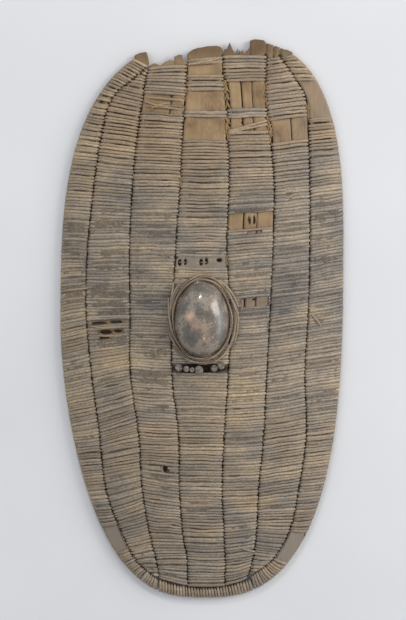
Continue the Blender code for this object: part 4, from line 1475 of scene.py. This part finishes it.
def make_bottom_rim():
    """Cane wound over the bottom rim, which closes the ends of the inner strips."""
    first, last = STRIPS["left_edge"]["bottom"], STRIPS["right_edge"]["bottom"]
    outer_from = left_outline(first[0] * MM) + SEAM_GAP
    inner_from = seam_x("seam_1", first[1] * MM) + SEAM_GAP
    inner_to = seam_x("seam_6", last[0] * MM) - SEAM_GAP
    outer_to = right_outline(last[1] * MM) - SEAM_GAP
    share = (np.arange(RIM_TURNS) + 0.5) / RIM_TURNS
    inner_x, outer_x = mix(inner_from, inner_to, share), mix(outer_from, outer_to, share)
    outer_y = np.array([bottom_y(x) for x in outer_x])
    rng = np.random.default_rng(11)
    ends = (inner_x, rim_inner_y(inner_x)), (outer_x, outer_y)
    reach = rng.uniform(0.2, 2.2, (2, RIM_TURNS)) * MM
    reach[1] = rng.uniform(-0.1, 0.4, RIM_TURNS) * MM
    points, up, _, free = turn_loops(ends, 1, reach=reach)
    girth = strand_girth(points, up, 1, rng)
    paths = Paths()
    paths.add(
        points, up, girth, rng.uniform(0, 1, (RIM_TURNS, 1)), free, closed=True, crust=0.4,
    )
    rings, *_ = turn_loops(ends, 1, sink=CLEAN_SINK)
    values = {"crust": np.full(rings.shape[:2], 0.15)}
    packing = link("bottom_rim_packing", tube_mesh("bottom_rim_packing", rings, values))
    add_piece(sweep("bottom_rim_cane", paths, packing, Seed=3), "cane", "bottom_rim_binding")


RIM_TURNS = 32


def oval(angle, half_width, half_length, middle_y):
    """Points on an egg that is broader at its lower end."""
    x = half_width * np.cos(angle) * (1 - BOSS_EGG * np.sin(angle))
    return x, middle_y + half_length * np.sin(angle)


def make_boss():
    """The carved boss: a thin brim, and a dome with the marks of its carving."""
    angle = np.linspace(0, 2 * np.pi, 97)[:-1]
    rings = []
    for scale, height in ((0.02, 0), (0.5, 0), (1, 0), (1.004, 0.4), (1.005, 1.2), (1, 2.0),
                          (0.985, BRIM / MM), (0.965, BRIM / MM + 0.6)):
        x, y = oval(angle, BOSS_HALF_WIDTH * scale, BOSS_HALF_LENGTH * scale, BOSS_MIDDLE_Y)
        rings.append(np.stack([x, y, rise(x, y) + FRONT_DEPTH + BOSS_SEAT + height * MM], 1))
    for scale in np.sin(np.linspace(1.28, 0.01, 40)):
        x, y = oval(angle, BOSS_HALF_WIDTH * scale, BOSS_HALF_LENGTH * scale, BOSS_MIDDLE_Y)
        dome = mix(BRIM, BOSS_HEIGHT, (1 - scale**DOME_BREADTH) ** DOME_FULLNESS)
        dome += 0.5 * MM * noise(x / (16 * MM), y / (24 * MM), 2) * (1 - scale**4)
        rings.append(np.stack([x, y, rise(x, y) + FRONT_DEPTH + BOSS_SEAT + dome], 1))
    rings = np.array(rings)
    x, y = rings[:, :, 0] / MM, rings[:, :, 1] / MM
    # Rubbed spots, one of them partly a painted highlight low on the dome
    wear_and_glint = np.zeros_like(x)
    for spot_x, spot_y, size, strength in RUBBED_SPOTS_AND_GLINT:
        out = np.hypot((x - spot_x) / size, (y - spot_y) / (size * 1.15))
        wear_and_glint = np.maximum(wear_and_glint, strength * (1 - smooth(out + 0.35 * noise(x / 5, y / 5, 4))))
    add_piece(link("boss_dome", tube_mesh("boss_dome", rings, {"wear_and_glint": wear_and_glint}), HARDWOOD),
              "boss_wood", "boss")


# Rubbed spots on the boss, the low one at (8, -40) partly a painted highlight: place across and along,
# size, and how far rubbed
RUBBED_SPOTS_AND_GLINT = [(-26, 5.5, 12, 0.9), (-14, -6, 17, 0.25), (8, -40, 9, 0.5), (4, -16, 26, 0.15)]


def hoop_line(spread, middle_x, middle_y, wave, count):
    angle = np.linspace(0, 2 * np.pi, count, endpoint=False)
    out = spread + wave * np.sin(6 * angle)
    x, y = oval(angle, BOSS_HALF_WIDTH + out, BOSS_HALF_LENGTH + out, middle_y)
    return angle, x + middle_x, y


def make_hoop(name, spread, middle_x, middle_y, wave, seed):
    """A hoop of three rods laid side by side, which change places on their way round."""
    rng = np.random.default_rng(seed)
    paths = Paths()
    count = 220
    angle, x, y = hoop_line(spread, middle_x, middle_y, wave, count)
    z = rise(x, y) + FRONT_DEPTH + BOSS_SEAT + HOOP_RADIUS
    centre = np.stack([x, y, z], axis=1)
    along = np.roll(centre, -1, axis=0) - np.roll(centre, 1, axis=0)
    along /= np.linalg.norm(along, axis=1)[:, None]
    aside = np.cross(along, (0, 0, 1))
    above = np.cross(aside, along)
    for rod in range(HOOP_RODS):
        uneven = 0.8 * np.sin(angle + seed + rod) + 0.5 * np.sin(3 * angle + 2 * rod)
        twist = HOOP_TWISTS * angle + 2 * np.pi * rod / HOOP_RODS + uneven
        off = np.cos(twist)[:, None] * aside + np.sin(twist)[:, None] * above
        points = centre + 0.55 * HOOP_RADIUS * off
        paths.add(
            points[None], np.cross(off, along)[None], rng.uniform(0.8, 1.1),
            rng.uniform(0, 1), 0.5, closed=True, crust=0.3,
        )
    for owner, girth, route in HOOP_ENDS:
        if owner == name:
            depth = FRONT_DEPTH + BOSS_SEAT + HOOP_RADIUS / 2
            add_rod(paths, route, girth, 0.0, depth, HOOP_LIFT, rng)
    hoop = sweep(
        f"{name}_twist", paths, Seed=seed, **{
            "Cane width": 3.6 * MM, "Cane thickness": 3.0 * MM, "Inner fullness": 1.0,
            "Wander": 0.8 * MM, "Lift": 0.5 * MM,
        },
    )
    add_piece(hoop, "cane", name)


HOOP_RADIUS = 2.8 * MM
HOOP_RODS = 3
HOOP_TWISTS = 3
# Loose ends and crossing rods beside the hoops: hoop, girth, then the places they run
# through
HOOP_ENDS = [
    ("boss_hoop_outer", 1.25, [(34, 76), (57, 53), (72, 23)]),
    ("boss_hoop_outer", 1.35, [(48, 62), (63, 28), (73, -1)]),
    ("boss_hoop_outer", 1.2, [(62, 34), (71, 2), (65, -44)]),
    ("boss_hoop_outer", 1.0, [(66, 22), (66, -14), (57, -50)]),
    ("boss_hoop_inner", 1.3, [(-56, 72), (-59, 48), (-64, 18)]),
    ("boss_hoop_inner", 1.1, [(-44, 70), (-57, 46), (-60, 20)]),
    ("boss_hoop_inner", 1.1, [(-66, 42), (-64, 4), (-56, -34)]),
]


LOOSE_LIFT = 2.2 * MM
HOOP_LIFT = 4.2 * MM


def add_rod(paths, route, girth, split, depth, lift, rng):
    """A loose rod through three places, which arches off what it lies on."""
    x, y = np.array(route, float).T * MM
    t = np.linspace(0, 1, 16)
    px, py = quadratic(x, t), quadratic(y, t)
    z = rise(px, py) + depth + lift * np.sin(np.pi * (0.15 + 0.75 * t))
    points = np.stack([px, py, z], axis=1)
    along = np.gradient(points, axis=0)
    up = np.cross((0, 0, 1), along)
    up /= np.linalg.norm(up, axis=1)[:, None]
    taper = girth * (0.6 + 0.4 * np.sin(np.pi * np.linspace(0.12, 0.88, 16)))
    paths.add(
        points[None], up[None], taper[None], rng.uniform(0.4, 1), 0.3, frayed=split, crust=0.3,
    )


def quadratic(ends, t):
    """A smooth curve through three values."""
    start, middle, end = ends
    bend = 2 * middle - (start + end) / 2
    return (1 - t) ** 2 * start + 2 * t * (1 - t) * bend + t**2 * end


def grip_back(y):
    """Just behind the back of the middle strip, which is flat from seam to seam."""
    left, right = seam_x("seam_3", y), seam_x("seam_4", y)
    return np.minimum(rise(left, y), rise(right, y)) - 1.6 * CLEAR


def make_peg(number, x, y, radius):
    """A stick with a rough cut end in front and a square tang through the board."""
    sides = 24
    angle = np.linspace(0, 2 * np.pi, sides, endpoint=False)
    seat = rise(x, y) + FACE + 3 * CLEAR
    top = rise(x, y) + FRONT_DEPTH + PEG_HEAD
    low = grip_back(y) - GRIP_FOOT_THICK - TANG_PROUD
    square = TANG_RADIUS / np.maximum(np.abs(np.cos(angle)), np.abs(np.sin(angle)))
    bark = radius * (1 + 0.05 * noise(angle * 1.3, 0 * angle, number))
    profile = [
        (0.1 * square, low), (0.8 * square, low), (square, low + 0.6 * MM), (square, seat),
        (bark, seat), (bark, mix(seat, top, 0.5)), (bark, top - 1.2 * MM),
        (0.96 * bark, top - 0.5 * MM), (0.88 * bark, top), (0.7 * bark, top + 0.2 * MM),
        (0.5 * bark, top + 0.3 * MM), (0.3 * bark, top + 0.1 * MM), (0.08 * bark, top - 0.4 * MM),
    ]
    rings = [
        np.stack([x + r * np.cos(angle), y + r * np.sin(angle), z + 0 * angle], axis=1)
        for r, z in profile
    ]
    pith = np.array([np.broadcast_to(r, angle.shape) for r, _ in profile])
    rings = np.array(rings)
    rings[8:, :, 2] += 0.25 * MM * noise(rings[8:, :, 0] / MM, rings[8:, :, 1] / MM, number)
    peg = link(f"stick_{number}", tube_mesh(f"stick_{number}", rings, {"from_pith": pith}), STICK)
    add_piece(peg, "stick_wood", f"peg_{number}")


def make_grip():
    """The carved handle, bowed off the board between two wide feet."""
    share = np.linspace(0, 1, 61)
    y = mix(GRIP_TOP_Y, GRIP_BOTTOM_Y, share)
    from_end = np.minimum(GRIP_TOP_Y - y, y - GRIP_BOTTOM_Y)
    gap = FINGER_GAP * smooth((from_end - GRIP_FOOT) / GRIP_ARM)
    bowed = gap / FINGER_GAP
    narrow = smooth((from_end - 0.7 * GRIP_FOOT) / (0.8 * GRIP_FOOT))
    half = mix(GRIP_FOOT_HALF, GRIP_BAR_HALF, narrow)
    thick = mix(GRIP_FOOT_THICK, GRIP_BAR_THICK, bowed)
    high = grip_back(y) - gap
    # A round end to each foot, and a section that runs from a slab to a rounded bar
    end = smooth(from_end / (4 * MM))
    half = half * mix(0.94, 1, end)
    angle = np.linspace(0, 2 * np.pi, 36, endpoint=False)
    power = mix(5.0, 2.4, bowed)[:, None]
    x = half[:, None] * np.sign(np.cos(angle)) * np.abs(np.cos(angle)) ** (2 / power)
    z = (high - thick / 2)[:, None] + thick[:, None] / 2 * mix(0.8, 1, end)[:, None] * np.sign(
        np.sin(angle)
    ) * np.abs(np.sin(angle)) ** (2 / power)
    z = np.minimum(z, high[:, None])
    rings = np.stack([x, np.broadcast_to(y[:, None], x.shape), z], axis=2)
    wear_and_glint = 0.25 * bowed[:, None] * np.ones_like(x)
    grip = link("handle", tube_mesh("handle", rings, {"wear_and_glint": wear_and_glint}), HARDWOOD)
    add_piece(grip, "boss_wood", "grip")


def make_stitch(side, holes):
    """A two-ply cord through a pair of holes, round the board and the handle's foot."""
    x0, x1 = (x * MM for x in holes)
    top = rise((x0 + x1) / 2, STITCH_Y) + FACE + STITCH_RADIUS + CLEAR
    low = grip_back(STITCH_Y) - GRIP_FOOT_THICK - STITCH_RADIUS - CLEAR
    corner = 2.2 * MM
    turn = np.linspace(0, np.pi / 2, 6)
    route = []
    for cx, cz, start in (
        (x0 + corner, top - corner, np.pi), (x1 - corner, top - corner, np.pi / 2),
        (x1 - corner, low + corner, 0), (x0 + corner, low + corner, -np.pi / 2),
    ):
        for t in turn:
            route.append((cx + corner * math.cos(start - t), cz + corner * math.sin(start - t)))
    route = np.array(route + route[:1])
    length = np.concatenate([[0], np.cumsum(np.hypot(*np.diff(route, axis=0).T))])
    along = np.linspace(0, length[-1], 91)[:-1]
    x, z = np.interp(along, length, route[:, 0]), np.interp(along, length, route[:, 1])
    centre = np.stack([x, np.full_like(x, STITCH_Y), z], axis=1)
    ahead = np.roll(centre, -1, axis=0) - np.roll(centre, 1, axis=0)
    ahead /= np.linalg.norm(ahead, axis=1)[:, None]
    aside = np.array([0, 1.0, 0])[None] + 0 * ahead
    out = np.cross(ahead, aside)
    paths = Paths()
    for half_turn in (0, np.pi):
        twist = 2 * np.pi * 11 * along / length[-1] + half_turn
        off = np.cos(twist)[:, None] * aside + np.sin(twist)[:, None] * out
        paths.add(
            (centre + 0.45 * STITCH_RADIUS * off)[None], np.cross(off, ahead)[None], 1.0,
            0.4 + 0.1 * half_turn, 0.0, closed=True,
        )
    cord = sweep(
        f"stitch_{side}", paths, **{
            "Cane width": 1.6 * MM, "Cane thickness": 1.5 * MM, "Inner fullness": 1.0,
        },
    )
    add_piece(cord, "cane", f"grip_stitch_{side}")


def make_stage():
    """Pale paper under the shield, soft light from the upper right, and the camera."""
    floor = bpy.data.meshes.new("floor")
    half = 6.0
    floor.from_pydata(
        [(-half, -half, 0), (half, -half, 0), (half, half, 0), (-half, half, 0)], [], [(0, 1, 2, 3)]
    )
    link("floor", floor, studio_paper())
    for name, place, size, power, colour in LIGHTS:
        light = bpy.data.lights.new(name, "AREA")
        light.shape = "RECTANGLE"
        light.size, light.size_y = size
        light.energy = power
        light.color = linear(colour)[:3]
        lamp = bpy.data.objects.new(name, light)
        lamp.location = place
        aim = -lamp.location
        lamp.rotation_euler = aim.to_track_quat("-Z", "Y").to_euler()
        bpy.context.scene.collection.objects.link(lamp)
    world = bpy.data.worlds.new("soft studio")
    world.use_nodes = True
    sky = world.node_tree.nodes["Background"]
    sky.inputs["Color"].default_value = linear("#F2F4F8")
    sky.inputs["Strength"].default_value = WORLD_LIGHT
    bpy.context.scene.world = world
    bpy.context.scene.view_settings.view_transform = "Standard"

    camera = bpy.data.cameras.new("camera")
    camera.sensor_fit = "VERTICAL"
    camera.sensor_height = SENSOR
    camera.lens = SENSOR * CAMERA_HEIGHT / (PHOTO_HEIGHT * PIXEL)
    camera.clip_end = 2 * CAMERA_HEIGHT
    eye = bpy.data.objects.new("camera", camera)
    eye.location = (
        (PHOTO_WIDTH / 2 - ZERO_PIXEL[0]) * PIXEL,
        (ZERO_PIXEL[1] - PHOTO_HEIGHT / 2) * PIXEL,
        CAMERA_HEIGHT,
    )
    bpy.context.scene.collection.objects.link(eye)
    bpy.context.scene.camera = eye


# Lights: place, size, power and colour
LIGHTS = [
    ("window", (3.6, 1.5, 2.0), (2.0, 2.6), 118, "#FFFAF3"),
    ("left fill", (-3.0, 1.0, 3.0), (2.5, 2.5), 32, "#F6F8FF"),
    ("top lamp left", (-0.66, 3.15, 2.5), (0.14, 0.3), 14, "#FFFFFF"),
    ("top lamp right", (-0.36, 3.2, 2.5), (0.14, 0.3), 14, "#FFFFFF"),
    ("low lamp", (0.3, -2.6, 3.0), (0.14, 0.14), 4, "#FFF4E6"),
    ("side panel", (3.3, -0.6, 0.9), (2.2, 1.4), 26, "#E6EEFF"),
]
WORLD_LIGHT = 0.55

for strip_name in STRIPS:
    make_strip(strip_name)
make_bottom_rim()
make_boss()
make_hoop("boss_hoop_inner", 4.2 * MM, 0, BOSS_MIDDLE_Y, 0, 21)
make_hoop("boss_hoop_outer", 11.6 * MM, 1 * MM, BOSS_MIDDLE_Y - 1 * MM, 0.5 * MM, 22)
for peg_number, peg in enumerate(PEGS, 1):
    make_peg(peg_number, *(value * MM for value in peg))
make_grip()
for stitch_side, stitch_holes in STITCH_HOLES.items():
    make_stitch(stitch_side, stitch_holes)
make_stage()
